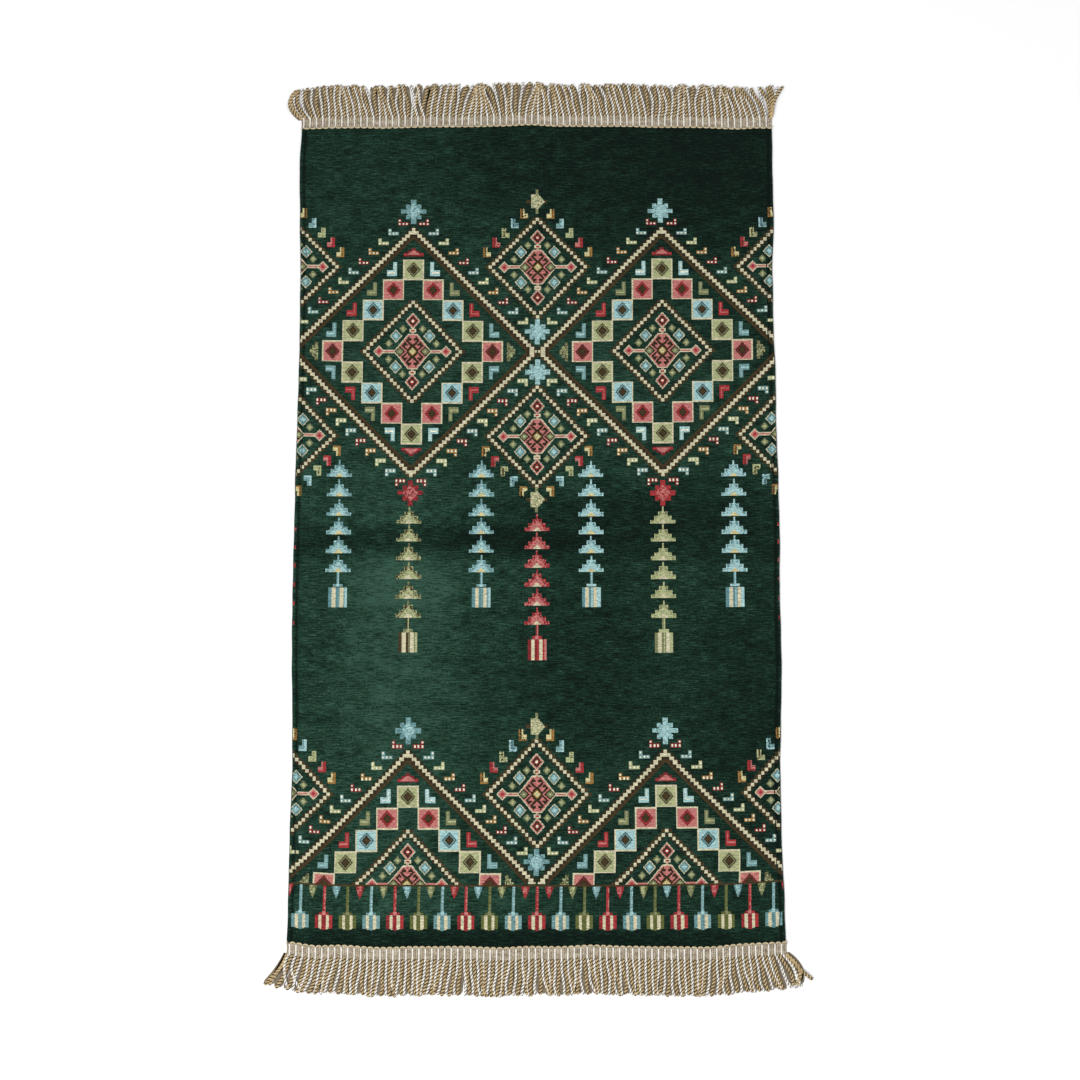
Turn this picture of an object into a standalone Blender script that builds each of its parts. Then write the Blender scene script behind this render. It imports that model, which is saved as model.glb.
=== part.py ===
"""A prayer rug laid flat: a woven cloth with two side hems, and a corded fringe at each end.

The rug lies on z = 0. X runs across it and Y along it, with the head end at +Y, and the origin
is on the floor at the middle of the cloth. All sizes are in metres.
"""

import math
import random
from collections import namedtuple

import bmesh
import bpy

# Driving dimensions of the cloth.
CLOTH_WIDTH = 0.684
CLOTH_HALF_LENGTH = 0.5795
CLOTH_THICKNESS = 0.0022
HEM_WIDTH = 0.0085
HEM_THICKNESS = 0.0030
HEM_STEP = 0.0012
EDGE_ROUNDING = 0.0005
END_BOW = 0.0062
RIPPLE_HEIGHT = 0.00018
RIPPLE_LENGTH = 0.19
RIPPLE_SLANT = 1.9

# Driving dimensions of the two fringes.
PIECE_GAP = 0.0003
TAPE_WIDTH = 0.0140
TAPE_THICKNESS = 0.0024
TAPE_END_INSET = 0.0006
CORD_LENGTH = 0.0530
CORD_UNEVENNESS = 0.0013
GOLD_WIDTH = 0.0036
WHITE_WIDTH = 0.0027
GOLD_HEIGHT = 0.0036
WHITE_HEIGHT = 0.0030
CORD_TOP_SHARE = 0.62
CORD_TIP_SHARE = 0.70
CORD_STEPS = 3
EARLY_LEAN = 0.6
BELLY_COST = 0.4

CLOTH_STATIONS = 37
CLOTH_COLUMNS = (-0.72, -0.36, 0.0, 0.36, 0.72)

# The figured bands are woven tighter than the plain ground and draw the side edges in.
# Each row: how far along the rug, and how far the left and right edges lie inside the full width.
DrawIn = namedtuple("DrawIn", "along left right")
DRAWN_IN = (
    DrawIn(-0.580, 0.0002, 0.0012),
    DrawIn(-0.530, 0.0012, 0.0018),
    DrawIn(-0.450, 0.0014, 0.0042),
    DrawIn(-0.350, 0.0034, 0.0048),
    DrawIn(-0.276, 0.0026, 0.0026),
    DrawIn(-0.200, 0.0003, 0.0001),
    DrawIn(-0.100, -0.0006, 0.0010),
    DrawIn(-0.020, 0.0001, -0.0003),
    DrawIn(0.060, 0.0004, 0.0002),
    DrawIn(0.130, 0.0014, 0.0018),
    DrawIn(0.210, 0.0028, 0.0016),
    DrawIn(0.300, 0.0030, 0.0034),
    DrawIn(0.375, 0.0024, 0.0034),
    DrawIn(0.430, 0.0008, 0.0005),
    DrawIn(0.520, -0.0014, 0.0007),
    DrawIn(0.582, 0.0007, 0.0007),
)

# How the cords lie, one row for each lock, with a pair of rows where two locks part.
# Each row: how far the roots are from the rug's left edge, how far the tips have gone to the
# right of their roots, and how far the middles belly out beside a straight line.
Lock = namedtuple("Lock", "along tip belly")
HEAD_LOCKS = (
    Lock(0.000, -0.0110, -0.0130),
    Lock(0.014, -0.0090, -0.0045),
    Lock(0.034, -0.0030, -0.0010),
    Lock(0.038, 0.0055, -0.0005),
    Lock(0.062, 0.0010, 0.0005),
    Lock(0.087, -0.0040, 0.0005),
    Lock(0.125, -0.0065, 0.0000),
    Lock(0.140, -0.0020, -0.0020),
    Lock(0.155, -0.0045, 0.0010),
    Lock(0.159, 0.0040, 0.0000),
    Lock(0.178, 0.0003, 0.0000),
    Lock(0.183, 0.0085, -0.0010),
    Lock(0.222, 0.0050, 0.0000),
    Lock(0.254, 0.0030, 0.0000),
    Lock(0.276, 0.0000, 0.0005),
    Lock(0.299, -0.0045, 0.0000),
    Lock(0.317, -0.0015, -0.0005),
    Lock(0.322, 0.0065, -0.0005),
    Lock(0.353, 0.0005, 0.0005),
    Lock(0.375, -0.0036, 0.0000),
    Lock(0.392, -0.0020, 0.0000),
    Lock(0.443, -0.0100, 0.0005),
    Lock(0.449, -0.0020, 0.0000),
    Lock(0.482, -0.0082, 0.0000),
    Lock(0.523, -0.0020, 0.0005),
    Lock(0.555, 0.0030, 0.0000),
    Lock(0.605, 0.0010, 0.0000),
    Lock(0.658, -0.0090, 0.0000),
    Lock(0.677, 0.0010, 0.0000),
    Lock(0.684, 0.0150, 0.0000),
)
FOOT_LOCKS = (
    Lock(0.000, -0.0250, 0.0010),
    Lock(0.014, -0.0205, 0.0010),
    Lock(0.026, -0.0150, 0.0010),
    Lock(0.034, -0.0120, -0.0005),
    Lock(0.055, -0.0110, -0.0005),
    Lock(0.100, -0.0070, 0.0000),
    Lock(0.137, 0.0000, 0.0000),
    Lock(0.165, -0.0030, 0.0000),
    Lock(0.215, -0.0070, 0.0000),
    Lock(0.238, -0.0080, 0.0000),
    Lock(0.242, 0.0025, 0.0000),
    Lock(0.268, 0.0015, -0.0005),
    Lock(0.305, -0.0050, 0.0000),
    Lock(0.336, -0.0020, 0.0000),
    Lock(0.350, 0.0065, 0.0000),
    Lock(0.385, 0.0025, 0.0000),
    Lock(0.404, -0.0010, 0.0000),
    Lock(0.410, 0.0075, 0.0000),
    Lock(0.455, 0.0055, 0.0000),
    Lock(0.485, 0.0005, 0.0000),
    Lock(0.545, 0.0020, 0.0000),
    Lock(0.578, -0.0045, 0.0000),
    Lock(0.583, 0.0000, 0.0000),
    Lock(0.640, 0.0085, 0.0000),
    Lock(0.660, 0.0120, 0.0000),
    Lock(0.677, 0.0230, 0.0000),
    Lock(0.684, 0.0400, 0.0010),
)

HEAD_CORDS = 149
FOOT_CORDS = 150

GREEN = (0.020, 0.062, 0.042, 1.0)
GOLD_AND_WHITE = (0.500, 0.410, 0.270, 1.0)
CLOTH_ROUGHNESS = 0.95
TRIM_ROUGHNESS = 0.80


def clear_scene():
    for obj in list(bpy.data.objects):
        bpy.data.objects.remove(obj, do_unlink=True)


def plain_material(name, colour, roughness):
    material = bpy.data.materials.new(name)
    material.use_nodes = True
    shader = material.node_tree.nodes["Principled BSDF"]
    shader.inputs["Base Color"].default_value = colour
    shader.inputs["Roughness"].default_value = roughness
    shader.inputs["Metallic"].default_value = 0.0
    return material


def read_table(rows, along, column, eased=False):
    """The value of one column between the rows on each side, in a straight or an eased run."""
    if along <= rows[0].along:
        return getattr(rows[0], column)
    for low, high in zip(rows, rows[1:]):
        if along <= high.along:
            share = (along - low.along) / (high.along - low.along)
            if eased:
                share = share * share * (3.0 - 2.0 * share)
            start = getattr(low, column)
            return start + (getattr(high, column) - start) * share
    return getattr(rows[-1], column)


def side_edge(along, side):
    """X of the cloth's left (side -1) or right (side +1) edge, at a place along the rug."""
    column = "left" if side < 0 else "right"
    return side * (CLOTH_WIDTH / 2 - read_table(DRAWN_IN, along, column, eased=True))


def end_edge(across, end):
    """Y of the cloth's head (end +1) or foot (end -1) edge; across runs from -1 to +1."""
    return end * (CLOTH_HALF_LENGTH + END_BOW * (1.0 - across * across))


def lay(across, share):
    """The place on the floor of a point of the cloth; share runs from 0, foot, to 1, head."""
    foot = end_edge(across, -1)
    along = foot + (end_edge(across, 1) - foot) * share
    side = -1 if across < 0 else 1
    return abs(across) * side_edge(along, side), along


def ripple(x, y):
    """The slight rise and fall of the face where the cloth has been folded and rolled."""
    turn = 2.0 * math.pi / RIPPLE_LENGTH
    slant = x / RIPPLE_SLANT
    return RIPPLE_HEIGHT * math.sin(turn * (y + slant)) * math.cos(turn * slant)


def add_object(name, mesh_maker, material):
    mesh = bpy.data.meshes.new(name)
    work = bmesh.new()
    mesh_maker(work)
    bmesh.ops.recalc_face_normals(work, faces=work.faces)
    work.to_mesh(mesh)
    work.free()
    mesh.materials.append(material)
    obj = bpy.data.objects.new(name, mesh)
    bpy.context.scene.collection.objects.link(obj)
    return obj


def cloth_section():
    """One cut across the cloth, as (across, inset from the side edge, height above the floor)."""
    hem_foot = HEM_WIDTH + HEM_STEP
    right = [
        (1.0, EDGE_ROUNDING, 0.0),
        (1.0, 0.0, HEM_THICKNESS * 0.5),
        (1.0, EDGE_ROUNDING * 2, HEM_THICKNESS),
        (1.0, HEM_WIDTH, HEM_THICKNESS),
        (1.0, hem_foot, CLOTH_THICKNESS),
    ]
    left = [(-across, inset, height) for across, inset, height in reversed(right)]
    face = [(across, 0.0, CLOTH_THICKNESS) for across in reversed(CLOTH_COLUMNS)]
    return right + face + left


def make_cloth(work):
    rings = []
    for station in range(CLOTH_STATIONS):
        share = station / (CLOTH_STATIONS - 1)
        ring = []
        for across, inset, height in cloth_section():
            x, y = lay(across, share)
            x -= math.copysign(inset, across)
            if height == CLOTH_THICKNESS and inset == 0.0:
                height += ripple(x, y)
            ring.append(work.verts.new((x, y, height)))
        rings.append(ring)
    for ring, following in zip(rings, rings[1:]):
        for place in range(len(ring)):
            beside = (place + 1) % len(ring)
            work.faces.new((ring[place], ring[beside], following[beside], following[place]))
    for ring in (rings[0], rings[-1]):
        work.faces.new(ring)


def cord_path(root_x, root_y, end, locks, length):
    """The points of one cord, from its root in the tape to its tip.

    The tip's lean is taken up in part straight away, and in part further and further out, and a
    cord that leans or bellies reaches less far from the tape.
    """
    along = root_x + CLOTH_WIDTH / 2
    tip = read_table(locks, along, "tip")
    belly = read_table(locks, along, "belly")
    reach = math.sqrt(length * length - tip * tip) - BELLY_COST * abs(belly)
    points = []
    for step in range(CORD_STEPS + 1):
        share = step / CORD_STEPS
        lean = tip * share * (EARLY_LEAN + (1.0 - EARLY_LEAN) * share)
        x = root_x + lean + belly * 4.0 * share * (1.0 - share)
        points.append((x, root_y + end * reach * share))
    return points


def cord_sections(points, width, height):
    """A cord's four corners at each point after its root, lying level on the floor."""
    sections = []
    for step, (x, y) in enumerate(points[1:], start=1):
        at_tip = step == CORD_STEPS
        half = width / 2
        top_half = half * CORD_TOP_SHARE
        top = height * (CORD_TIP_SHARE if at_tip else 1.0)
        low_corners = ((x - half, y, 0.0), (x + half, y, 0.0))
        high_corners = ((x + top_half, y, top), (x - top_half, y, top))
        sections.append(low_corners + high_corners)
    return sections


def make_fringe(work, end, cord_count, first_is_gold, locks, seed):
    """A narrow tape along the cloth's end, with every cord drawn out of its outer side."""
    chance = random.Random(seed)
    usable = CLOTH_WIDTH - 2 * TAPE_END_INSET
    spacing = usable / cord_count
    left_end = -CLOTH_WIDTH / 2 + TAPE_END_INSET

    def cut(x):
        """The tape's corners at one place: inner low, outer low, outer high and inner high."""
        inner = end_edge(2.0 * x / CLOTH_WIDTH, end) + end * PIECE_GAP
        outer = inner + end * TAPE_WIDTH
        places = ((inner, 0.0), (outer, 0.0), (outer, TAPE_THICKNESS), (inner, TAPE_THICKNESS))
        return [work.verts.new((x, y, z)) for y, z in places]

    def join(one, other, with_outer):
        """The tape's faces between two cuts; the outer one is left open where a cord starts."""
        for low, high in ((0, 1), (2, 3), (3, 0)):
            work.faces.new((one[low], one[high], other[high], other[low]))
        if with_outer:
            work.faces.new((one[1], one[2], other[2], other[1]))

    previous = cut(left_end)
    work.faces.new(previous)
    for number in range(cord_count):
        is_gold = (number % 2 == 0) == first_is_gold
        width = GOLD_WIDTH if is_gold else WHITE_WIDTH
        height = GOLD_HEIGHT if is_gold else WHITE_HEIGHT
        root_x = left_end + (number + 0.5) * spacing
        near = cut(root_x - width / 2)
        far = cut(root_x + width / 2)
        join(previous, near, with_outer=True)
        join(near, far, with_outer=False)
        root_y = (near[1].co.y + far[1].co.y) / 2
        length = CORD_LENGTH + chance.uniform(-CORD_UNEVENNESS, CORD_UNEVENNESS)
        ring = [near[1], far[1], far[2], near[2]]
        for section in cord_sections(cord_path(root_x, root_y, end, locks, length), width, height):
            following = [work.verts.new(corner) for corner in section]
            for place in range(4):
                beside = (place + 1) % 4
                work.faces.new((ring[place], ring[beside], following[beside], following[place]))
            ring = following
        work.faces.new(ring)
        previous = far
    last = cut(left_end + usable)
    join(previous, last, with_outer=True)
    work.faces.new(last)


def make_head_fringe(work):
    make_fringe(work, 1, HEAD_CORDS, True, HEAD_LOCKS, seed=11)


def make_foot_fringe(work):
    make_fringe(work, -1, FOOT_CORDS, False, FOOT_LOCKS, seed=23)


clear_scene()
add_object("cloth", make_cloth, plain_material("green_chenille", GREEN, CLOTH_ROUGHNESS))
add_object("head_fringe", make_head_fringe, plain_material("head_trim", GOLD_AND_WHITE, TRIM_ROUGHNESS))
add_object("foot_fringe", make_foot_fringe, plain_material("foot_trim", GOLD_AND_WHITE, TRIM_ROUGHNESS))
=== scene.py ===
import math
import random
from collections import namedtuple

import bpy
import numpy as np
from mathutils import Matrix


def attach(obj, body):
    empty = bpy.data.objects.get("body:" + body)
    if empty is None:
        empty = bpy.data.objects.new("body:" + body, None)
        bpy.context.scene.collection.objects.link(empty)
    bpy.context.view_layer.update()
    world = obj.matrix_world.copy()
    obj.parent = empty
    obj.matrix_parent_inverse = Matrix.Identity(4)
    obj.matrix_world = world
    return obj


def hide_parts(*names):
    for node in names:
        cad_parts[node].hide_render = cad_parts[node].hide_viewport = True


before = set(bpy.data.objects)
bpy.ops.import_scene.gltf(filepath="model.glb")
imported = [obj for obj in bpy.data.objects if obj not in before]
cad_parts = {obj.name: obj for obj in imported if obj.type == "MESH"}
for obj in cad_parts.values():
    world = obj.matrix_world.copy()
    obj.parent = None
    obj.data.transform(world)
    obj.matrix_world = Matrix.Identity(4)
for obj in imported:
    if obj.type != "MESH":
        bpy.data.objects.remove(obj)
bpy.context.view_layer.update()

# ---------------------------------------------------------------------------------------------
# The ground cloth.
# One length of dark green chenille, woven flat, with its two long sides turned under and
# stitched down. It lies on the floor and carries every figure of the pattern in its own weave.

CLOTH_WIDTH = 0.684
CLOTH_HALF_LENGTH = 0.5795
CLOTH_THICKNESS = 0.0022
HEM_WIDTH = 0.0085
HEM_THICKNESS = 0.0030
HEM_STEP = 0.0012
HEM_GROOVE_DEPTH = 0.00045
HEM_GROOVE_WIDTH = 0.0009
HEM_GROOVE_PLACE = 0.0072
EDGE_ROUNDING = 0.0012
EDGE_PUCKER = 0.00035
PUCKER_PLACE = 0.0035
PUCKER_REACH = 0.0034
PUCKER_TURNS = (0.0063, 0.0171)
END_BOW = 0.0062
END_LAP = 0.0020
RIPPLE_HEIGHT = 0.00018
RIPPLE_LENGTH = 0.19
RIPPLE_SLANT = 1.9


def named(kind, rows):
    """A table's plain rows, as named rows."""
    return [kind(*row) for row in rows]


# Each row: how far along the rug, and how far the left and right edges lie inside the full width.
DrawIn = namedtuple("DrawIn", "along left right")
DRAWN_IN = named(DrawIn, (
    (-0.580, 0.0002, 0.0012), (-0.530, 0.0012, 0.0018), (-0.450, 0.0014, 0.0042),
    (-0.350, 0.0034, 0.0048), (-0.276, 0.0026, 0.0026), (-0.200, 0.0003, 0.0001),
    (-0.100, -0.0006, 0.0010), (-0.020, 0.0001, -0.0003), (0.060, 0.0004, 0.0002),
    (0.130, 0.0014, 0.0018), (0.210, 0.0028, 0.0016), (0.300, 0.0030, 0.0034),
    (0.375, 0.0024, 0.0034), (0.430, 0.0008, 0.0005), (0.520, -0.0014, 0.0007),
    (0.582, 0.0007, 0.0007),
))

# Each row: a place across the rug, and how far the head and foot edges lie outside their bow.
EndWander = namedtuple("EndWander", "across head foot")
END_WANDERS = named(EndWander, (
    (-0.342, 0.0002, -0.0014), (-0.300, 0.0006, 0.0026), (-0.268, 0.0000, 0.0010),
    (-0.215, -0.0017, 0.0027), (-0.160, -0.0012, 0.0004), (-0.100, -0.0017, -0.0006),
    (-0.050, -0.0009, 0.0008), (-0.010, 0.0008, -0.0012), (0.030, -0.0014, -0.0008),
    (0.074, -0.0013, -0.0026), (0.130, -0.0007, -0.0004), (0.170, -0.0015, 0.0008),
    (0.235, -0.0004, 0.0025), (0.285, -0.0012, -0.0004), (0.325, 0.0015, -0.0010),
    (0.342, 0.0015, -0.0014),
))

# Each row: a soft crease's middle, its half length and half width, its turn from the weft, and
# how deep it is (a ridge has a negative depth).
Crease = namedtuple("Crease", "x y half_length half_width turn depth")
CREASES = named(Crease, (
    (0.231, 0.042, 0.060, 0.005, 0.10, 0.00022), (-0.120, 0.515, 0.150, 0.009, -0.02, 0.00020),
    (0.150, 0.505, 0.120, 0.008, 0.03, -0.00016), (-0.060, -0.235, 0.200, 0.010, 0.02, 0.00018),
    (0.120, -0.030, 0.140, 0.008, -0.04, -0.00014),
))


def read_column(rows, column, place, eased=False):
    """A column of a table, read at a place in its first column, in straight or eased runs."""
    places = np.array([row[0] for row in rows])
    values = np.array([getattr(row, column) for row in rows])
    place = np.clip(place, places[0], places[-1])
    low = np.clip(np.searchsorted(places, place, side="right") - 1, 0, len(places) - 2)
    share = (place - places[low]) / (places[low + 1] - places[low])
    if eased:
        share = share * share * (3.0 - 2.0 * share)
    return values[low] + (values[low + 1] - values[low]) * share


def side_edge(along, side):
    """X of the cloth's left (side -1) or right (side +1) edge, at a place along the rug."""
    column = "left" if side < 0 else "right"
    return side * (CLOTH_WIDTH / 2 - read_column(DRAWN_IN, column, along, eased=True))


def end_edge(across, end):
    """Y of the cloth's head (end +1) or foot (end -1) edge; across runs from -1 to +1."""
    column = "head" if end > 0 else "foot"
    wander = read_column(END_WANDERS, column, across * CLOTH_WIDTH / 2, eased=True)
    return end * (CLOTH_HALF_LENGTH + END_BOW * (1.0 - across * across) + wander)


def bump_of(distance, half_width):
    """A soft rise: 1 in its middle, and 0 from half_width outwards."""
    share = np.clip(np.abs(distance) / half_width, 0.0, 1.0)
    return (1.0 - share * share) ** 2


def face_height(x, y):
    """Height of the cloth's upper face above the floor, with its hems, ripple and creases."""
    edge = np.where(x < 0, -side_edge(y, -1), side_edge(y, 1))
    inset = edge - np.abs(x)
    turn = 2.0 * math.pi / RIPPLE_LENGTH
    slant = x / RIPPLE_SLANT
    height = CLOTH_THICKNESS + RIPPLE_HEIGHT * np.sin(turn * (y + slant)) * np.cos(turn * slant)
    for crease in CREASES:
        run = (x - crease.x) * math.cos(crease.turn) + (y - crease.y) * math.sin(crease.turn)
        off = (y - crease.y) * math.cos(crease.turn) - (x - crease.x) * math.sin(crease.turn)
        fall = bump_of(run, crease.half_length) * bump_of(off, crease.half_width)
        height = height - crease.depth * fall
    rise = np.clip((HEM_WIDTH + HEM_STEP - inset) / HEM_STEP, 0.0, 1.0)
    height = height + (HEM_THICKNESS - height) * rise * rise * (3.0 - 2.0 * rise)
    height = height - HEM_GROOVE_DEPTH * bump_of(inset - HEM_GROOVE_PLACE, HEM_GROOVE_WIDTH)
    pucker = np.sin(y / PUCKER_TURNS[0]) * np.sin(y / PUCKER_TURNS[1] + 1.0)
    return height + EDGE_PUCKER * pucker * bump_of(inset - PUCKER_PLACE, PUCKER_REACH) * rise


SHARP_ANGLE = math.radians(50)


def add_piece(name, points, faces, smooth=True, painted_shades=None):
    """A mesh piece from its points and faces, and how much painted shade each point carries (0 to 1), most
    in grooves.
    """
    mesh = bpy.data.meshes.new(name)
    mesh.from_pydata([tuple(point) for point in points], [], faces)
    mesh.validate()
    mesh.update()
    if smooth:
        mesh.shade_smooth()
        mesh.set_sharp_from_angle(angle=SHARP_ANGLE)
    if painted_shades is not None:
        layer = mesh.attributes.new("painted_shade", "FLOAT", "POINT")
        layer.data.foreach_set("value", [float(value) for value in painted_shades])
    piece = bpy.data.objects.new(name, mesh)
    bpy.context.scene.collection.objects.link(piece)
    return piece


def linear(red, green, blue):
    """A colour as a camera records it, from 0 to 255, as the shader's linear numbers."""
    def one(value):
        share = value / 255.0
        return share / 12.92 if share <= 0.04045 else ((share + 0.055) / 1.055) ** 2.4
    return (one(red), one(green), one(blue), 1.0)


class Wire:
    """A socket's value in a material, so that shader sums are written as Python sums."""

    def __init__(self, finish, socket):
        self.finish = finish
        self.socket = socket

    def maths(self, operation, *terms):
        return self.finish.node("ShaderNodeMath", {"operation": operation}, dict(enumerate(terms)))

    def __add__(self, other):
        return self.maths("ADD", self, other)

    def __sub__(self, other):
        return self.maths("SUBTRACT", self, other)

    def __mul__(self, other):
        return self.maths("MULTIPLY", self, other)

    def __truediv__(self, other):
        return self.maths("DIVIDE", self, other)

    def __rsub__(self, other):
        return self.maths("SUBTRACT", other, self)

    __radd__ = __add__
    __rmul__ = __mul__

    def clamped(self):
        return self.finish.node("ShaderNodeClamp", {}, {0: self})


class Finish:
    """A material under construction, around one Principled shader."""

    def __init__(self, name, roughness, specular, sheen=0.0):
        self.material = bpy.data.materials.new(name)
        self.material.use_nodes = True
        self.tree = self.material.node_tree
        self.shader = self.tree.nodes["Principled BSDF"]
        self.shader.inputs["Roughness"].default_value = roughness
        self.shader.inputs["Specular IOR Level"].default_value = specular
        self.shader.inputs["Sheen Weight"].default_value = sheen

    def node(self, kind, settings, sockets, out=0):
        """Add a node: its settings first, then a value or a wire for each socket."""
        node = self.tree.nodes.new(kind)
        for name, value in settings.items():
            setattr(node, name, value)
        for key, value in sockets.items():
            if isinstance(value, Wire):
                self.tree.links.new(value.socket, node.inputs[key])
            else:
                node.inputs[key].default_value = value
        return Wire(self, node.outputs[out])

    def place(self, stretch):
        """The point being shaded, in metres, with each axis stretched."""
        point = self.node("ShaderNodeTexCoord", {}, {}, out="Object")
        return self.node("ShaderNodeVectorMath", {"operation": "MULTIPLY"}, {0: point, 1: stretch})

    def noise(self, stretch, detail=3.0, roughness=0.55):
        sockets = {"Vector": self.place(stretch), "Scale": 1.0, "Detail": detail, "Roughness": roughness}
        return self.node("ShaderNodeTexNoise", {}, sockets)

    def blend(self, share, one, other):
        """A colour that goes from one to other as share goes from 0 to 1."""
        return self.node("ShaderNodeMix", {"data_type": "RGBA"}, {0: share, 6: one, 7: other}, out=2)

    def painted_shade(self):
        """How much painted shade the mesh gives the point being shaded, from 0 to 1: most in grooves and
        where neighbours shade it.
        """
        return self.node("ShaderNodeAttribute", {"attribute_name": "painted_shade"}, {}, out="Fac")

    def colour(self, wire):
        self.tree.links.new(wire.socket, self.shader.inputs["Base Color"])

    def relief(self, height, depth):
        """A bump of this depth in metres."""
        normal = self.node("ShaderNodeBump", {}, {"Height": height, "Distance": depth, "Strength": 1.0})
        self.tree.links.new(normal.socket, self.shader.inputs["Normal"])


HEM_COLUMNS = (0.0, 0.0003, 0.0007, 0.0012, 0.0025, 0.0040, 0.0055, 0.0063, 0.0068, 0.0072, 0.0076,
               0.0081, 0.0085, 0.0089, 0.0093, 0.0097, 0.0105, 0.0120)
MIDDLE_COLUMNS = 72
MIDDLE_INSET = 0.0180
GROUND_STATIONS = 261
HEM_SHADE_PLACE = 0.0062
HEM_SHADE_REACH = 0.0034
EDGE_WANDER = 0.00035
WANDER_REACH = 0.006
WANDER_TURNS = (0.0117, 0.031)
UNDER_INSET = 0.00072


def ground_sections():
    """Where the cloth's face is cut: a share across it, and how far inside its edge over a hem."""
    inner = 1.0 - MIDDLE_INSET / (CLOTH_WIDTH / 2)
    middle = [(inner * (2.0 * place / MIDDLE_COLUMNS - 1.0), 0.0) for place in range(MIDDLE_COLUMNS + 1)]
    left = [(-1.0, inset) for inset in HEM_COLUMNS]
    return left + middle + [(1.0, inset) for inset in reversed(HEM_COLUMNS)]


def lay_across(across, inset, along_share):
    """The place on the floor of a point of the cloth, with its hem's edge wandering a little."""
    foot, head = end_edge(across, -1) - END_LAP, end_edge(across, 1) + END_LAP
    y = foot + (head - foot) * along_share
    side = -1 if across < 0 else 1
    wander = EDGE_WANDER * math.sin(y / WANDER_TURNS[0] + side) * math.sin(y / WANDER_TURNS[1])
    x = abs(across) * side_edge(y, side) - side * inset
    if abs(across) == 1.0:
        x += wander * max(0.0, 1.0 - inset / WANDER_REACH)
    return x, y


def skin(rings, sides):
    """The faces of a closed length of rings of points, with its two ends closed flat."""
    faces = []
    for low in range(0, (rings - 1) * sides, sides):
        for side in range(sides):
            following = (side + 1) % sides
            faces.append((low + side, low + following, low + sides + following, low + sides + side))
    faces.append(tuple(range(sides - 1, -1, -1)))
    faces.append(tuple((rings - 1) * sides + side for side in range(sides)))
    return faces


def ground_mesh():
    """The cloth's face, station by station, and its flat underside."""
    sections = ground_sections()
    shares = [station / (GROUND_STATIONS - 1) for station in range(GROUND_STATIONS)]
    flat = np.array([[lay_across(across, inset, share) for across, inset in sections] for share in shares])
    heights = face_height(flat[:, :, 0], flat[:, :, 1])
    row_painted_shades = []
    for place, (across, inset) in enumerate(sections):
        in_hem = abs(across) == 1.0
        # Painted shade: a darker strip along each hem, round its stitched groove.
        row_painted_shades.append(float(bump_of(inset - HEM_SHADE_PLACE, HEM_SHADE_REACH)) * in_hem)
        if in_hem and inset < EDGE_ROUNDING:
            drop = 1.0 - math.sqrt(1.0 - (1.0 - inset / EDGE_ROUNDING) ** 2)
            heights[:, place] -= drop * HEM_THICKNESS / 2
    points = []
    for row, row_heights in zip(flat, heights):
        points.extend((x, y, z) for (x, y), z in zip(row, row_heights))
        points.append((row[-1][0] - UNDER_INSET, row[-1][1], 0.0))
        points.append((row[0][0] + UNDER_INSET, row[0][1], 0.0))
    painted_shades = (row_painted_shades + [0.0, 0.0]) * GROUND_STATIONS
    return points, skin(GROUND_STATIONS, len(sections) + 2), painted_shades


GREEN_DEEP = linear(3, 16, 11)
GREEN_MIDDLE = linear(20, 46, 34)
GREEN_LIGHT = linear(48, 79, 66)
PILE_TONE = 0.37

# Each row: a patch of pile painted lighter as painted sheen where its lay catches the light (or painted
# darker as painted shade, where the lift is negative).
SheenPatch = namedtuple("SheenPatch", "x y reach_x reach_y lift")
PAINTED_SHEEN_PATCHES = named(SheenPatch, (
    (-0.260, -0.180, 0.420, 0.560, 0.14), (-0.190, -0.240, 0.110, 0.420, 0.20),
    (-0.195, -0.080, 0.100, 0.060, 0.24), (-0.150, 0.300, 0.300, 0.160, 0.12),
    (0.240, 0.560, 0.420, 0.200, -0.36), (0.150, -0.005, 0.340, 0.060, -0.22),
    (-0.150, -0.026, 0.300, 0.030, -0.34), (0.060, -0.180, 0.110, 0.200, -0.20),
    (0.120, 0.170, 0.260, 0.150, 0.10), (0.340, -0.300, 0.150, 0.300, -0.16),
    (-0.150, -0.520, 0.260, 0.050, 0.10), (-0.100, -0.584, 0.500, 0.036, -0.44),
))


def green_chenille():
    """Short dark green pile in weft rows, with painted sheen and shade in patches where its lay catches
    the light, and painted shade along its hems.
    """
    finish = Finish("green_chenille", roughness=0.95, specular=0.10, sheen=0.06)
    rows = finish.noise((75.0, 600.0, 0.0), detail=3.0, roughness=0.62)
    flecks = finish.noise((340.0, 640.0, 0.0), detail=2.0, roughness=0.7)
    clouds = finish.noise((26.0, 60.0, 0.0), detail=3.0, roughness=0.6)
    patches = finish.noise((3.1, 5.5, 0.0), detail=3.0, roughness=0.5)
    point = finish.place((1.0, 1.0, 1.0))
    across = finish.node("ShaderNodeSeparateXYZ", {}, {0: point}, out=0)
    along = finish.node("ShaderNodeSeparateXYZ", {}, {0: point}, out=1)
    tone = (PILE_TONE + (patches - 0.5) * 0.35 + (clouds - 0.5) * 0.9 + (rows - 0.5) * 2.2
            + (flecks - 0.5) * 1.6)
    # Painted sheen and shade: patches lighter or darker where the pile's lay catches the light.
    for patch in PAINTED_SHEEN_PATCHES:
        off_x, off_y = (across - patch.x) / patch.reach_x, (along - patch.y) / patch.reach_y
        near = (1.0 - (off_x * off_x + off_y * off_y)).clamped()
        tone = tone + near * patch.lift
    # Painted shade from the mesh, darker along the hems.
    tone = (tone - finish.painted_shade() * 0.45).clamped()
    colour = finish.blend((tone * 2.0).clamped(), GREEN_DEEP, GREEN_MIDDLE)
    finish.colour(finish.blend((tone * 2.0 - 1.0).clamped(), colour, GREEN_LIGHT))
    finish.relief(rows * 0.6 + flecks * 0.5, 0.0006)
    return finish.material


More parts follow.
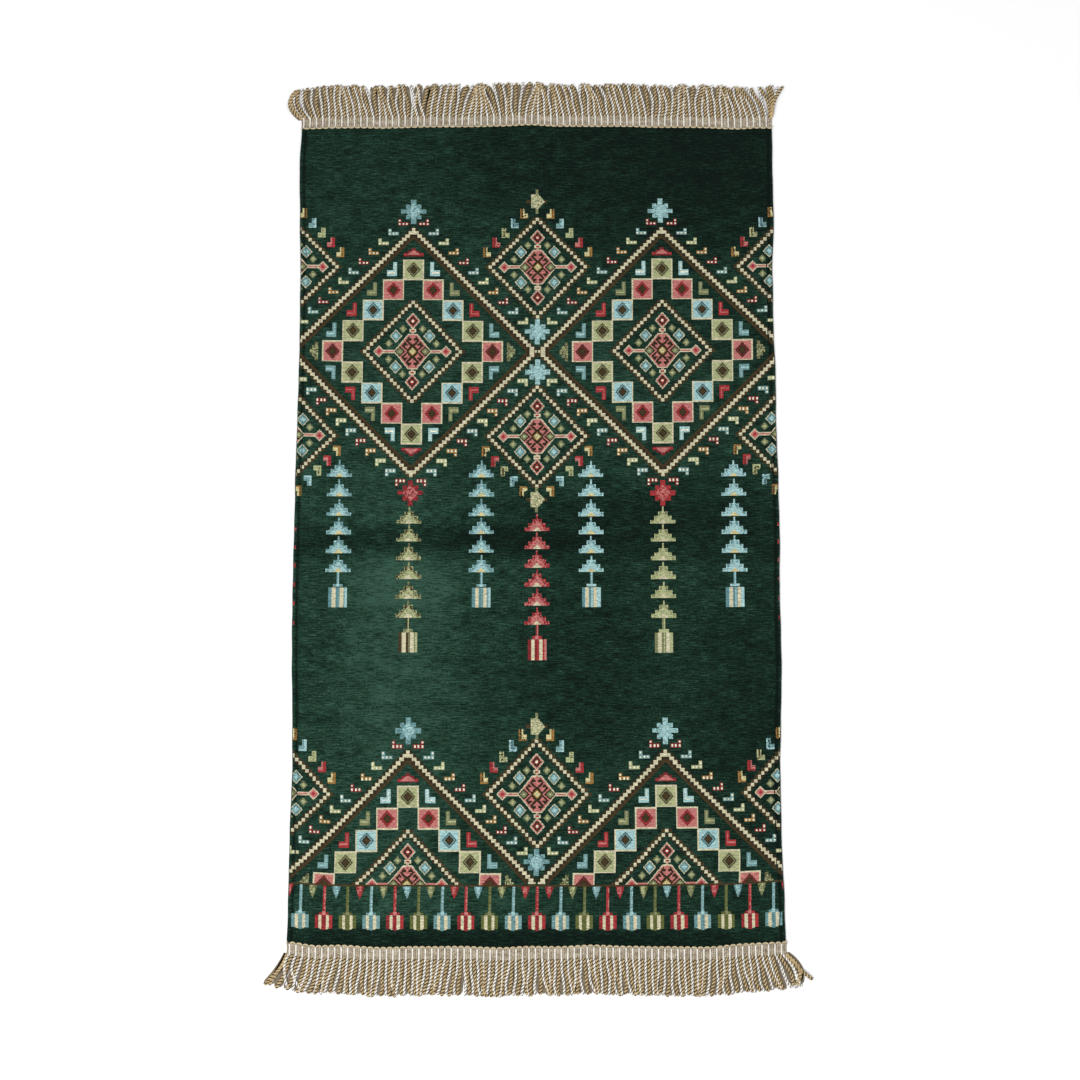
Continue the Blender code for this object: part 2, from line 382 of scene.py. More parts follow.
points, faces, painted_shades = ground_mesh()
ground = add_piece("ground_cloth", points, faces, painted_shades=painted_shades)
ground.data.materials.append(green_chenille())
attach(ground, "root")
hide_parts("cloth")

# ---------------------------------------------------------------------------------------------
# The woven figures.
# Coloured wefts come to the face of the same cloth and make stepped diamonds, chains of little
# hats, and hanging tassels. Each colour is one piece: low pads of yarn on the cell grid.

CELL_ACROSS = 0.0015855
CELL_ALONG = 0.0016234
PERIOD = 225 * CELL_ACROSS
FINE_ACROSS = CELL_ACROSS / 2
FINE_ALONG = CELL_ALONG * 0.75
CHART_COLUMNS = 870
CHART_ROWS = 962

YARN_COLOURS = {
    "ivory": (188, 182, 152),
    "white": (216, 213, 188),
    "black_brown": (42, 34, 20),
    "umber": (60, 47, 26),
    "olive": (156, 161, 119),
    "olive_shade": (112, 116, 82),
    "rose": (175, 107, 102),
    "red": (146, 44, 47),
    "dark_red": (112, 34, 38),
    "sky": (147, 182, 182),
    "blue": (106, 141, 141),
    "dark_blue": (84, 124, 128),
    "deep_blue": (54, 82, 90),
    "moss": (84, 90, 46),
    "amber": (138, 103, 54),
    "peach": (190, 180, 132),
}
YARNS = tuple(YARN_COLOURS)
PLAIN = -1

# In the lower band's top rows the weft is beaten less tightly, so the figures stand taller.
LOOSE_FROM = -0.382
LOOSE_TO = -0.262
LOOSENESS = 1.025

# The wefts don't run quite straight. Each row: a place along the rug, how far the pattern has
# drifted sideways there, and how far it stands too high at seven places across.
Drift = namedtuple("Drift", "along sideways lifts")
DRIFT_PLACES = (-0.335, -0.280, -0.100, 0.060, 0.130, 0.280, 0.335)
DRIFTS = [Drift(row[0], row[1], row[2:]) for row in (
    (-0.585, -0.0006, 0.0040, 0.0010, 0.0000, 0.0000, 0.0000, 0.0020, 0.0050),
    (-0.530, -0.0006, 0.0028, 0.0002, 0.0000, 0.0004, 0.0002, 0.0021, 0.0055),
    (-0.503, 0.0000, 0.0040, 0.0008, 0.0000, 0.0000, 0.0003, 0.0030, 0.0070),
    (-0.470, 0.0012, 0.0025, -0.0007, 0.0002, 0.0006, 0.0007, 0.0025, 0.0045),
    (-0.400, 0.0008, 0.0014, -0.0010, -0.0005, -0.0005, 0.0000, 0.0015, 0.0030),
    (-0.320, -0.0001, -0.0005, -0.0012, -0.0015, -0.0022, -0.0004, 0.0008, 0.0020),
    (-0.260, -0.0003, 0.0000, 0.0000, -0.0003, -0.0003, 0.0003, 0.0010, 0.0015),
    (-0.120, -0.0005, 0.0000, 0.0000, -0.0002, 0.0002, 0.0007, 0.0018, 0.0025),
    (0.020, 0.0000, -0.0002, -0.0002, -0.0008, 0.0000, 0.0003, 0.0019, 0.0025),
    (0.130, 0.0007, 0.0008, -0.0010, -0.0021, -0.0016, -0.0005, 0.0012, 0.0022),
    (0.215, 0.0009, 0.0000, -0.0018, -0.0022, -0.0024, 0.0000, 0.0007, 0.0020),
    (0.300, 0.0013, -0.0005, -0.0003, -0.0016, -0.0016, -0.0006, 0.0012, 0.0020),
    (0.385, 0.0015, 0.0000, -0.0010, -0.0012, -0.0006, 0.0008, 0.0000, 0.0010),
    (0.470, 0.0007, -0.0015, -0.0020, -0.0018, -0.0030, -0.0015, -0.0010, 0.0000),
)]


def drift_at(x, y):
    """How far the pattern has moved, across and along, at a place on the cloth."""
    across = read_column(DRIFTS, "sideways", y)
    alongs = np.array([drift.along for drift in DRIFTS])
    lifts = np.array([drift.lifts for drift in DRIFTS])
    columns = np.stack([np.interp(y, alongs, lifts[:, place]) for place in range(len(DRIFT_PLACES))])
    spot = np.clip(np.searchsorted(DRIFT_PLACES, x) - 1, 0, len(DRIFT_PLACES) - 2)
    places = np.array(DRIFT_PLACES)
    share = np.clip((x - places[spot]) / (places[spot + 1] - places[spot]), 0.0, 1.0)
    each = np.arange(columns.shape[1]) if columns.ndim > 1 else Ellipsis
    return across, columns[spot, each] * (1.0 - share) + columns[spot + 1, each] * share


chart = np.full((CHART_ROWS, CHART_COLUMNS), PLAIN, dtype=np.int8)
column_x = (np.arange(CHART_COLUMNS) - CHART_COLUMNS / 2 + 0.5) * FINE_ACROSS
row_y = (np.arange(CHART_ROWS) - CHART_ROWS / 2 + 0.5) * FINE_ALONG
is_loose = (row_y > LOOSE_FROM) & (row_y < LOOSE_TO)
design_y = np.where(is_loose, LOOSE_FROM + (row_y - LOOSE_FROM) / LOOSENESS, row_y)
SCATTER = np.random.default_rng(5)


def block(x, y, left, right, low, high):
    return (x >= left) & (x < right) & (y >= low) & (y < high)


def lozenge(x, y, half_across, half_along):
    return np.abs(x) / half_across + np.abs(y) / half_along <= 1.0


class Figure:
    """The part of the chart around one figure, in cells from the figure's middle."""

    def __init__(self, x, y, reach_across, reach_along, loose=True):
        """A figure that isn't loose is placed by where it lies on the cloth, drift and all."""
        places = design_y if loose else row_y
        if not loose:
            across, along = drift_at(x, y)
            x, y = x - across, y - along
        columns = np.nonzero(np.abs(column_x - x) < reach_across * CELL_ACROSS)[0]
        rows = np.nonzero(np.abs(places - y) < reach_along * CELL_ALONG)[0]
        self.patch = chart[rows[0]:rows[-1] + 1, columns[0]:columns[-1] + 1]
        self.x = ((column_x[columns] - x) / CELL_ACROSS)[None, :]
        self.y = ((places[rows] - y) / CELL_ALONG)[:, None]
        self.out = np.abs(self.x)
        self.up = np.abs(self.y)

    def work(self, yarn, where):
        self.patch[np.broadcast_to(where, self.patch.shape)] = YARNS.index(yarn)

    def mottle(self, yarn, where, share):
        """Stray stitches of another yarn over a share of part of the figure, two columns wide."""
        rows, columns = self.patch.shape
        chances = np.repeat(SCATTER.random((rows, columns // 2 + 1)), 2, axis=1)[:, :columns]
        self.work(yarn, where & (chances < share))

    def blocks(self, across, along, *rows):
        """Blocks, mirrored both ways. Each row: a yarn and its left, right, low and high edges."""
        for yarn, left, right, low, high in rows:
            where = block(self.out, self.up, across + left, across + right, along + low, along + high)
            self.work(yarn, where)

    def lozenges(self, across, along, *rows):
        """Lozenges round one middle, mirrored both ways. Each row: a yarn and its two half sizes."""
        for yarn, half_across, half_along in rows:
            self.work(yarn, lozenge(self.out - across, self.up - along, half_across, half_along))


def hexagon_depth(out, up):
    """How far inside the medallion's lattice a cell lies, in cells."""
    half_across, half_along, flat = 17.0, 15.8, 4.1
    run = half_across - flat
    slope = 1.0 - ((out - flat) / run + up / half_along)
    return np.minimum(slope / math.hypot(1.0 / run, 1.0 / half_along), half_along - up)


DOT_STEPS = 14
DOT_ACROSS = 3.08
DOT_ALONG = 3.17


def work_medallion(x, y):
    """A dotted diamond round a rose lattice, with four blue lozenges and two red ones."""
    figure = Figure(x, y, 49, 50)
    out, up = figure.out, figure.up
    dots = [(step * DOT_ACROSS, (DOT_STEPS - step) * DOT_ALONG) for step in range(DOT_STEPS + 1)]
    for dot in dots:
        figure.blocks(*dot, ("umber", 1.4, 4.3, -1.3, 1.5), ("black_brown", -3.9, -1.3, -1.4, 1.4))
    for dot in dots:
        figure.blocks(*dot, ("ivory", -1.4, 1.4, -1.5, 1.5))
    figure.blocks(0, 0, ("ivory", 15.6, 27.0, 0.0, 1.4), ("rose", 15.0, 27.0, 0.0, 0.75))
    figure.lozenges(30.2, 0, ("ivory", 5.3, 5.3), ("rose", 4.1, 4.1), ("red", 2.0, 2.0))
    figure.blocks(0, 0, ("ivory", 0.0, 1.2, 15.5, 22.0), ("rose", 0.0, 0.6, 15.5, 22.0),
                  ("ivory", 0.0, 3.0, 17.3, 20.4), ("red", 0.0, 1.6, 18.2, 19.6))
    figure.lozenges(0, 27.3, ("ivory", 6.7, 7.6), ("rose", 5.8, 6.7), ("black_brown", 4.4, 5.2),
                    ("red", 2.4, 2.8))
    figure.work("white", block(out, abs(up - 27.3), 0.0, 0.8, 0.0, 0.9))
    depth = hexagon_depth(out, up)
    figure.work("ivory", depth > 0.0)
    figure.work("rose", depth > 0.9)
    figure.work("black_brown", depth > 2.1)
    inside = depth > 1.8
    figure.work("rose", inside & (np.abs(up - (out - 5.4) * 0.9) < 0.75) & (out > 5.2))
    figure.work("rose", inside & (np.abs(out - 3.2 - (up - 5.4) * 0.86) < 0.6) & (up > 5.2))
    figure.work("rose", (up > 1.9) & (up < 5.5) & (np.abs(out - 4.7) < (up - 1.9) * 0.86))
    figure.work("rose", (up > 6.1) & (up < 9.9) & (out < (up - 6.1) * 1.06))
    figure.blocks(0, 0, ("rose", 0.0, 0.8, 9.8, 15.0), ("rose", 0.0, 2.4, 12.2, 13.6))
    figure.lozenges(11.6, 0, ("black_brown", 4.9, 4.6), ("olive_shade", 3.6, 3.2))
    figure.work("olive", block(abs(out - 11.6), up, 0.0, 0.9, 0.0, 0.9))
    figure.lozenges(0, 0, ("amber", 4.0, 4.0), ("peach", 2.9, 2.9), ("olive", 1.2, 1.2))
    figure.lozenges(15.1, 13.8, ("ivory", 5.6, 6.0), ("dark_blue", 4.6, 5.0), ("blue", 3.3, 3.7),
                    ("sky", 2.3, 2.5))
    for middle in ((8.8, 20.2), (21.4, 7.0)):
        figure.lozenges(*middle, ("olive_shade", 3.5, 3.7), ("olive", 1.7, 1.9))


BORDER_STEPS = 37
SQUARE_STEP = 18
SQUARENESS = 1.0278
RING_YARNS = (("olive", "umber", "olive_shade"), ("rose", "dark_red", "red"),
              ("sky", "deep_blue", "blue"), ("olive", "umber", "olive_shade"),
              ("rose", "black_brown", "dark_red"))
CORNER_YARNS = (("sky", "white"), ("olive_shade", "olive"), ("red", "rose"), ("blue", "sky"))
DOTTED_YARNS = ("dark_red", "blue", "olive", "amber")
DOTTED_HOOKS = 11


def work_square(figure, across, along, fill, line, inner):
    """One square of the ring, cream-edged, with a lozenge in a lozenge."""
    for yarn, wide, tall in (("ivory", 9.5, 9.3), (fill, 8.25, 8.05)):
        off, rise = abs(figure.out - across), abs(figure.up - along)
        figure.work(yarn, block(off, rise, 0.0, wide, 0.0, tall))
    figure.lozenges(across, along, (line, 6.6, 7.2), (inner, 5.4, 5.9), ("black_brown", 4.1, 4.6),
                    ("umber", 2.9, 3.3))


def work_great_diamond(x, y):
    """A stepped border round a ring of squares, with corner hooks inside and dotted ones outside."""
    figure = Figure(x, y, 112.6, 124)
    out, up, half = figure.out, figure.up, 3 * BORDER_STEPS
    edge = np.floor((half - up) / 1.5) * 1.5
    steps = [(half - 3 * step, 3 * min(step, BORDER_STEPS - 1) - 0.5)
             for step in range(BORDER_STEPS + 1)]
    for number, (row, middle) in enumerate(steps):
        in_row = (up >= row - 1.5) & (up < row + 1.5)
        dark = in_row & (out >= middle + 1.5) & (out < middle + 4.6)
        figure.work("black_brown", dark & (figure.y > 0))
        figure.work("umber", dark & (figure.y <= 0))
        if number > 1:
            figure.work("umber", in_row & (out >= edge - 7.6) & (out < middle - 4.0))
            figure.work("black_brown", in_row & (out >= middle - 4.6) & (out < middle - 1.5))
    figure.blocks(0, half, ("black_brown", 0.0, 4.0, -6.2, -3.5))
    for number, (row, middle) in enumerate(steps):
        left, right = ((0.0, 1.5), (0.0, 4.5))[number] if number < 2 else (middle - 2.0, middle + 2.0)
        figure.blocks(0, row, ("ivory", left, right, -1.5, 1.5))
    figure.blocks(half, 0, ("ivory", -0.9, 1.2, 0.0, 1.2))
    figure.blocks(0, 0, ("dark_red", 0.0, 2.2, 91.2, 93.8), ("dark_red", 0.0, 5.6, 88.9, 91.3),
                  ("dark_red", 0.0, 9.0, 86.4, 89.0), ("red", 6.2, 8.8, 87.0, 88.8))
    figure.work("rose", (up > 87.3) & (up < 91.6) & (out < (92.4 - up) * 1.25))
    for low, high, tall in ((85.2, 87.8, 8.0), (87.8, 90.3, 5.0), (90.3, 92.6, 2.0)):
        step = block(out, up, low, high, 0.0, tall)
        figure.work("olive_shade", step)
        figure.mottle("umber", step, 0.35)
        figure.mottle("olive", step & (up < 5.0), 0.30)
    for place, yarns in enumerate(RING_YARNS):
        work_square(figure, SQUARE_STEP * place, SQUARE_STEP * (4 - place) * SQUARENESS, *yarns)
    for place, (fill, line) in enumerate(CORNER_YARNS):
        figure.blocks(14.9 + SQUARE_STEP * place, 66.6 * SQUARENESS - 18.5 * place,
                      (fill, 0.0, 3.7, 0.0, 12.2), (fill, 0.0, 9.2, 0.0, 5.2),
                      (line, 1.4, 2.3, 2.4, 11.2), (line, 1.4, 8.6, 2.2, 3.3))
    for place in range(DOTTED_HOOKS):
        yarn = DOTTED_YARNS[place % 4]
        left, low = 4.6 + SQUARE_STEP / 2 * place, 4.9 + half - SQUARE_STEP / 2 * place
        figure.blocks(left, low, (yarn, 0.0, 9.6, -1.5, 1.6), (yarn, 6.5, 9.6, -1.5, 4.9))
        for dot in range(3):
            figure.blocks(left + 1.5 + 3.25 * dot, low, ("white", -0.8, 0.8, -0.8, 0.9))
        figure.blocks(left, low, ("white", 7.2, 8.8, 2.5, 4.2))


SIDE_YARNS = (("peach", "black_brown", "amber"), ("blue", "deep_blue", "sky"),
              ("olive", "umber", "olive"), ("rose", "dark_red", "red"), ("peach", "umber", "amber"))


def work_corner_blocks(x, y, upper):
    """Small L-shaped blocks that follow a medallion's outer side down from its apex."""
    figure = Figure(x, y, 62, 62)
    out, along = figure.out, figure.y if upper else -figure.y
    for place, (fill, line, edge) in enumerate(SIDE_YARNS):
        right, low = 15.7 + 8.45 * place, 44.9 - 9.0 * place
        bar = block(out, along, right - 4.2, right, low, low + 9.2)
        foot = block(out, along, right - 7.1, right, low, low + 4.6)
        figure.work(edge, bar | foot)
        figure.work(fill, block(out, along, right - 4.2, right - 2.5, low + 1.4, low + 9.2))
        figure.work(fill, block(out, along, right - 7.1, right - 2.5, low + 1.4, low + 4.6))
        rib = block(out, along, right - 2.9, right - 1.4, low + 1.4, low + 9.2)
        on_left = figure.x < 0.0
        figure.mottle(line, rib & on_left, 0.7)
        figure.mottle(line, rib & ~on_left, 0.3)
        figure.mottle(line, (bar | foot) & on_left, 0.16)


def work_star(x, y, shade, tone, light):
    """An eight-pointed woven star, paler in its middle and darker on its left."""
    figure = Figure(x, y, 14, 14, loose=False)
    out, up, across = figure.out, figure.up, figure.x
    star = block(out, up, 0.0, 2.3, 0.0, 11.2) | block(out, up, 0.0, 11.3, 0.0, 2.0)
    star = star | block(out, up, 3.5, 7.1, 2.8, 6.7) | block(out, up, 0.0, 5.6, 0.0, 5.4)
    core = lozenge(out, up, 7.0, 7.4) & star
    figure.work(tone, star)
    figure.mottle(shade, star, 0.22)
    figure.mottle(light, core, 0.62)
    figure.mottle(shade, star & (across < -2.4), 0.30)
    figure.work(shade, block(abs(out - 4.4), abs(up - 4.4), 0.0, 0.6, 0.0, 0.7))
    figure.work(shade, block(abs(out - 2.9), abs(up - 5.6), 0.0, 0.5, 0.0, 0.8) & (across > 0.0))


def work_leaf_star(x, y, shade, tone, light):
    """The narrower star at a medallion's tip: a block on its left, half a lozenge on its right."""
    figure = Figure(x, y, 14, 14, loose=False)
    out, up, across = figure.out, figure.up, figure.x
    figure.blocks(0, 0, ("umber", 0.0, 9.4, 0.0, 1.5), (shade, 0.0, 1.2, 0.0, 11.2))
    body = block(across, up, -5.2, 0.4, 0.0, 6.6) | (lozenge(out, up, 7.4, 8.2) & (across > 0.0))
    figure.work(tone, body)
    figure.mottle(light, body, 0.42)
    figure.mottle(shade, body, 0.20)


CAP_GAP = 0.0006


def work_hat(x, base, shade, tone, light, warm):
    """A stepped hat with a spike, one of a hanging chain."""
    figure = Figure(x, base, 13, 17, loose=False)
    out, up, across = figure.out, figure.y, figure.x
    tiers = ((11.1, 0.0, 3.4), (7.8, 3.4, 6.8), (4.1, 6.8, 10.8), (0.75, 10.8, 14.9))
    whole = np.zeros(figure.patch.shape, dtype=bool)
    for half, low, high in tiers:
        whole = whole | block(out, up, 0.0, half, low, high)
        figure.work(tone, block(out, up, 0.0, half, low, high))
        figure.work(shade, block(across, up, -half + 1.0, -half + 2.2, low + 0.8, high) & (half > 2))
        figure.work(shade, block(across, up, half - 2.6, half - 1.5, low + 1.2, high) & (half > 2))
    glow = whole & (up < 9.5) & (out < (10.0 - up) * 0.80)
    figure.work(light, glow)
    figure.mottle(tone, glow, 0.16)
    figure.mottle(light, whole & ~glow, 0.25)
    figure.mottle(shade, whole & ~glow, 0.14)
    figure.work(shade, block(abs(out - 2.4), abs(up - 8.6), 0.0, 0.7, 0.0, 1.1))
    figure.work(warm, (up >= 0.0) & (up < 3.6) & (out < 4.0 - up * 1.05))


def work_hanging_tassel(x, stem_top, cap_top, body_top, body_foot, shade, tone, light):
    """The striped tassel at the foot of a chain, on its stem."""
    middle = (stem_top + body_foot) / 2
    figure = Figure(x, middle, 12, 26, loose=False)
    y = figure.y * CELL_ALONG + middle
    in_stem = (y < stem_top) & (y > cap_top)
    in_cap = (y < cap_top) & (y > body_top + CAP_GAP)
    in_body = (y < body_top) & (y > body_foot)
    stripes = (
        (shade, in_stem, -1.3, 1.3), (light, in_stem, -0.2, 0.8), (tone, in_cap, -4.3, 4.3),
        (light, in_cap, -1.4, 1.4), (tone, in_body, -8.2, 8.2), (shade, in_body, -8.2, -5.6),
        (light, in_body, 6.2, 8.2), (shade, in_body, -1.9, 1.9), (tone, in_body, 0.0, 1.2),
        ("ivory", in_body, -5.1, -1.9), ("ivory", in_body, 1.9, 5.1),
    )
    for yarn, part, left, right in stripes:
        figure.work(yarn, part & (figure.x > left) & (figure.x < right))


BLUES = ("dark_blue", "blue", "sky", "peach")
OLIVES = ("umber", "olive_shade", "olive", "ivory")
REDS = ("dark_red", "red", "rose", "ivory")
BRIGHT_BLUES = ("dark_blue", "sky", "sky", "peach")
BRIGHT_OLIVES = ("olive_shade", "olive", "olive", "ivory")
UPPER_MIDDLE = 0.2510
LOWER_MIDDLE = -0.5010
HALF_PERIOD = PERIOD / 2
MEDALLION_RISE = 0.1236

for band in (UPPER_MIDDLE, LOWER_MIDDLE):
    for side in (-1, 1):
        work_great_diamond(side * HALF_PERIOD, band)
        work_medallion(side * HALF_PERIOD, band)
    for side in (-1, 0, 1):
        for rise in (-1, 1):
            work_medallion(side * PERIOD, band + rise * MEDALLION_RISE)

for side in (-1, 0, 1):
    work_corner_blocks(side * PERIOD, UPPER_MIDDLE + MEDALLION_RISE, upper=True)
    work_corner_blocks(side * PERIOD, UPPER_MIDDLE - MEDALLION_RISE, upper=False)
    work_corner_blocks(side * PERIOD, LOWER_MIDDLE + MEDALLION_RISE, upper=True)

# Each row: where a star's middle lies, and its colours.
Star = namedtuple("Star", "x y yarns")
BLUE_STAR = ("dark_blue", "blue", "sky")
PALE_STAR = ("blue", "sky", "sky")
RED_STAR = ("red", "dark_red", "rose")
ROSE_STAR = ("red", "red", "rose")
LEAF_STAR = ("olive_shade", "olive", "ivory")
STARS = named(Star, (
    (-0.1775, 0.4563, BLUE_STAR), (0.1780, 0.4575, PALE_STAR), (0.0, 0.4716, LEAF_STAR),
    (0.0010, 0.2786, PALE_STAR), (0.0010, 0.2191, PALE_STAR), (0.0, 0.0348, LEAF_STAR),
    (-0.1784, 0.0445, RED_STAR), (0.1784, 0.0445, ROSE_STAR), (0.0, -0.2849, LEAF_STAR),
    (-0.1784, -0.2905, BLUE_STAR), (0.1784, -0.2905, PALE_STAR), (0.0, -0.4705, BLUE_STAR),
))
for star in STARS:
    work = work_leaf_star if star.yarns is LEAF_STAR else work_star
    work(star.x, star.y, *star.yarns)

# Each row: a kind of chain's colours, its hats' bases (the tassel's stem hangs from the last one),
# and the tops of its tassel's cap and body and the body's foot.
Kind = namedtuple("Kind", "yarns bases cap_top body_top body_foot")
BLUE_KIND = Kind(BLUES, (0.0672, 0.0396, 0.0114, -0.0144, -0.0410, -0.0685), -0.0849, -0.0898, -0.1184)
OLIVE_KIND = Kind(OLIVES, (0.0004, -0.0250, -0.0513, -0.0778, -0.1055, -0.1325), -0.1484, -0.1540,
                  -0.1821)
RED_KIND = Kind(REDS, (-0.0104, -0.0356, -0.0616, -0.0887, -0.1157, -0.1428), -0.1582, -0.1633, -0.1919)
PALE_BLUE_KIND = BLUE_KIND._replace(yarns=BRIGHT_BLUES)
PALE_OLIVE_KIND = OLIVE_KIND._replace(yarns=BRIGHT_OLIVES)

# Each row: a chain's place across, how far it hangs above its kind's levels, and its kind.
Chain = namedtuple("Chain", "x rise kind")
CHAINS = named(Chain, (
    (-0.2790, 0.0, BLUE_KIND), (-0.0780, 0.0, BLUE_KIND), (-0.1800, 0.0, OLIVE_KIND),
    (0.0766, 0.0, PALE_BLUE_KIND), (0.2785, 0.0008, PALE_BLUE_KIND), (0.1780, 0.0, PALE_OLIVE_KIND),
    (0.0005, 0.0, RED_KIND), (-0.3566, 0.0, RED_KIND), (0.3566, 0.0078, RED_KIND),
))
for chain in CHAINS:
    kind = chain.kind
    for base in kind.bases:
        work_hat(chain.x, base + chain.rise, *kind.yarns)
    levels = (kind.bases[-1], kind.cap_top, kind.body_top, kind.body_foot)
    work_hanging_tassel(chain.x, *(level + chain.rise for level in levels), *kind.yarns[:3])

# The lower band stops at a brown line, and a row of tassels and little flames hangs from it.
LINE_TOP = -0.5020
LINE_FOOT = -0.5043
TASSEL_PITCH = PERIOD / 11
TASSEL_SHIFT = 0.0010
TASSEL_COUNT = 10
CAP_TOP = -0.5386
BODY_TOP = -0.5432
BODY_FOOT = -0.5614
BODY_BULGE = 0.0026
TASSEL_MIDDLE = -0.53
FLAME_FOOT = -0.5208
FLAME_MIDDLE = -0.51
GAP_TOP = 0.0037
SPOT_FOOT = 0.0016
TASSEL_YARNS = (REDS[:3], BLUES[:3], ("moss", "moss", "olive_shade"))
FLAME_ORDER = "ROBROBORBOR"
FLAME_YARNS = {"R": REDS[:3], "O": ("moss", "olive_shade", "olive"), "B": BLUES[:3]}

chart[row_y < LINE_TOP, :] = PLAIN
chart[(row_y < LINE_TOP) & (row_y > LINE_FOOT), :] = YARNS.index("umber")
for side in (-1, 0, 1):
    figure = Figure(side * PERIOD, LINE_TOP, 12, 6)
    above = figure.y * CELL_ALONG
    figure.patch[(figure.out < 9.0) & (above > 0.0) & (above < GAP_TOP)] = PLAIN
    spot = (figure.out > 0.8) & (figure.out < 7.4) & (above > SPOT_FOOT) & (above < GAP_TOP)
    figure.work("ivory", spot)
for place in range(-TASSEL_COUNT, TASSEL_COUNT + 1):
    shade, tone, light = TASSEL_YARNS[abs(place) % 3]
    figure = Figure(TASSEL_SHIFT + place * TASSEL_PITCH, TASSEL_MIDDLE, 10, 24)
    out, across = figure.out, figure.x
    y = figure.y * CELL_ALONG + TASSEL_MIDDLE
    in_stem = (out < 1.25) & (y < LINE_FOOT) & (y > CAP_TOP)
    in_cap = (out < 4.2) & (y < CAP_TOP - CAP_GAP) & (y > BODY_TOP)
    figure.work(tone, in_stem)
    figure.mottle(light, in_stem & (across > -0.2), 0.4)
    figure.work(tone, in_cap)
    figure.mottle(shade, in_cap, 0.35)
    figure.work(light, (out < 1.5) & (y < CAP_TOP + 0.0008) & (y > BODY_TOP))
    foot = BODY_FOOT - BODY_BULGE * (1.0 - np.clip(out / 4.5, 0.0, 1.0))
    in_body = (y < BODY_TOP) & (y > foot) & (out < 7.4)
    figure.work(tone, in_body)
    figure.mottle(shade, in_body & (across < -4.6), 0.45)
    figure.work(shade, in_body & (out < 1.7))
    figure.mottle(tone, in_body & (out < 1.7), 0.45)
    figure.work("ivory", in_body & (out > 1.8) & (out < 4.5))
for place in range(-TASSEL_COUNT - 1, TASSEL_COUNT + 1):
    shade, tone, light = FLAME_YARNS[FLAME_ORDER[place if place >= 0 else -place - 1]]
    figure = Figure(TASSEL_SHIFT + (place + 0.5) * TASSEL_PITCH, FLAME_MIDDLE, 6, 14)
    share = (LINE_FOOT - figure.y * CELL_ALONG - FLAME_MIDDLE) / (LINE_FOOT - FLAME_FOOT)
    half = 3.5 * (1.0 - np.clip(share, 0.0, 1.0) ** 1.5)
    flame = (share > 0.0) & (share < 1.0) & (figure.out < half)
    figure.work(tone, flame)
    figure.mottle(shade, flame & (figure.out > 1.4), 0.5)
    figure.mottle(light, flame & (share < 0.6) & (np.abs(figure.x + 0.3) < 1.8), 0.6)

PAD_HEIGHT = 0.00022
PAD_ROOT = 0.00030
PAD_INSET = 0.00002
NARROWEST_PAD = 0.0003
LONGEST_RUN = 16
TALLEST_RUN = 8
HEM_ZONE = 0.326
HEM_RUN = 4


def yarn_runs():
    """The chart's stitches gathered into rectangles of one yarn, as (yarn, x0, x1, y0, y1)."""
    open_runs, done = {}, []
    zone = np.where(np.abs(column_x) > HEM_ZONE, np.arange(CHART_COLUMNS) // HEM_RUN, -1)
    for row in range(CHART_ROWS):
        line = chart[row]
        change = np.nonzero((np.diff(line) != 0) | (np.diff(zone) != 0))[0] + 1
        starts = np.concatenate(([0], change))
        stops = np.concatenate((change, [CHART_COLUMNS]))
        here = {}
        for start, stop in zip(starts, stops):
            if line[start] == PLAIN:
                continue
            for left in range(start, stop, LONGEST_RUN):
                key = (int(line[start]), left, min(left + LONGEST_RUN, stop))
                first = open_runs.pop(key, row)
                if row - first >= TALLEST_RUN:
                    done.append((*key, first, row))
                    first = row
                here[key] = first
        done.extend((*key, first, row) for key, first in open_runs.items())
        open_runs = here
    return done


def pad_mesh(runs):
    """Closed low pads for the runs of one yarn, standing in the cloth's face."""
    runs = np.array(runs, dtype=float)
    left = column_x[0] + (runs[:, 1] - 0.5) * FINE_ACROSS
    right = column_x[0] + (runs[:, 2] - 0.5) * FINE_ACROSS
    low = row_y[0] + (runs[:, 3] - 0.5) * FINE_ALONG
    high = row_y[0] + (runs[:, 4] - 0.5) * FINE_ALONG
    middle = (low + high) / 2
    ends = [drift_at(x, middle)[0] + x for x in (left, right)]
    limit_left = side_edge(middle, -1) + EDGE_ROUNDING
    limit_right = side_edge(middle, 1) - EDGE_ROUNDING
    keep = np.minimum(ends[1], limit_right) - np.maximum(ends[0], limit_left) > NARROWEST_PAD
    left, right = left[keep] + PAD_INSET, right[keep] - PAD_INSET
    low, high = low[keep] + PAD_INSET, high[keep] - PAD_INSET
    limit_left, limit_right = limit_left[keep], limit_right[keep]
    corners = []
    for lift in (-PAD_ROOT, PAD_HEIGHT):
        for x, y in ((left, low), (right, low), (right, high), (left, high)):
            across, along = drift_at(x, y)
            x, y = np.clip(x + across, limit_left, limit_right), y + along
            corners.append(np.stack([x, y, face_height(x, y) + lift], axis=1))
    points = np.stack(corners, axis=1).reshape(-1, 3)
    sides = ((3, 2, 1, 0), (4, 5, 6, 7), (0, 1, 5, 4), (1, 2, 6, 5), (2, 3, 7, 6), (3, 0, 4, 7))
    starts = np.arange(len(left)) * 8
    faces = [tuple(int(start) + corner for corner in side) for start in starts for side in sides]
    return points, faces


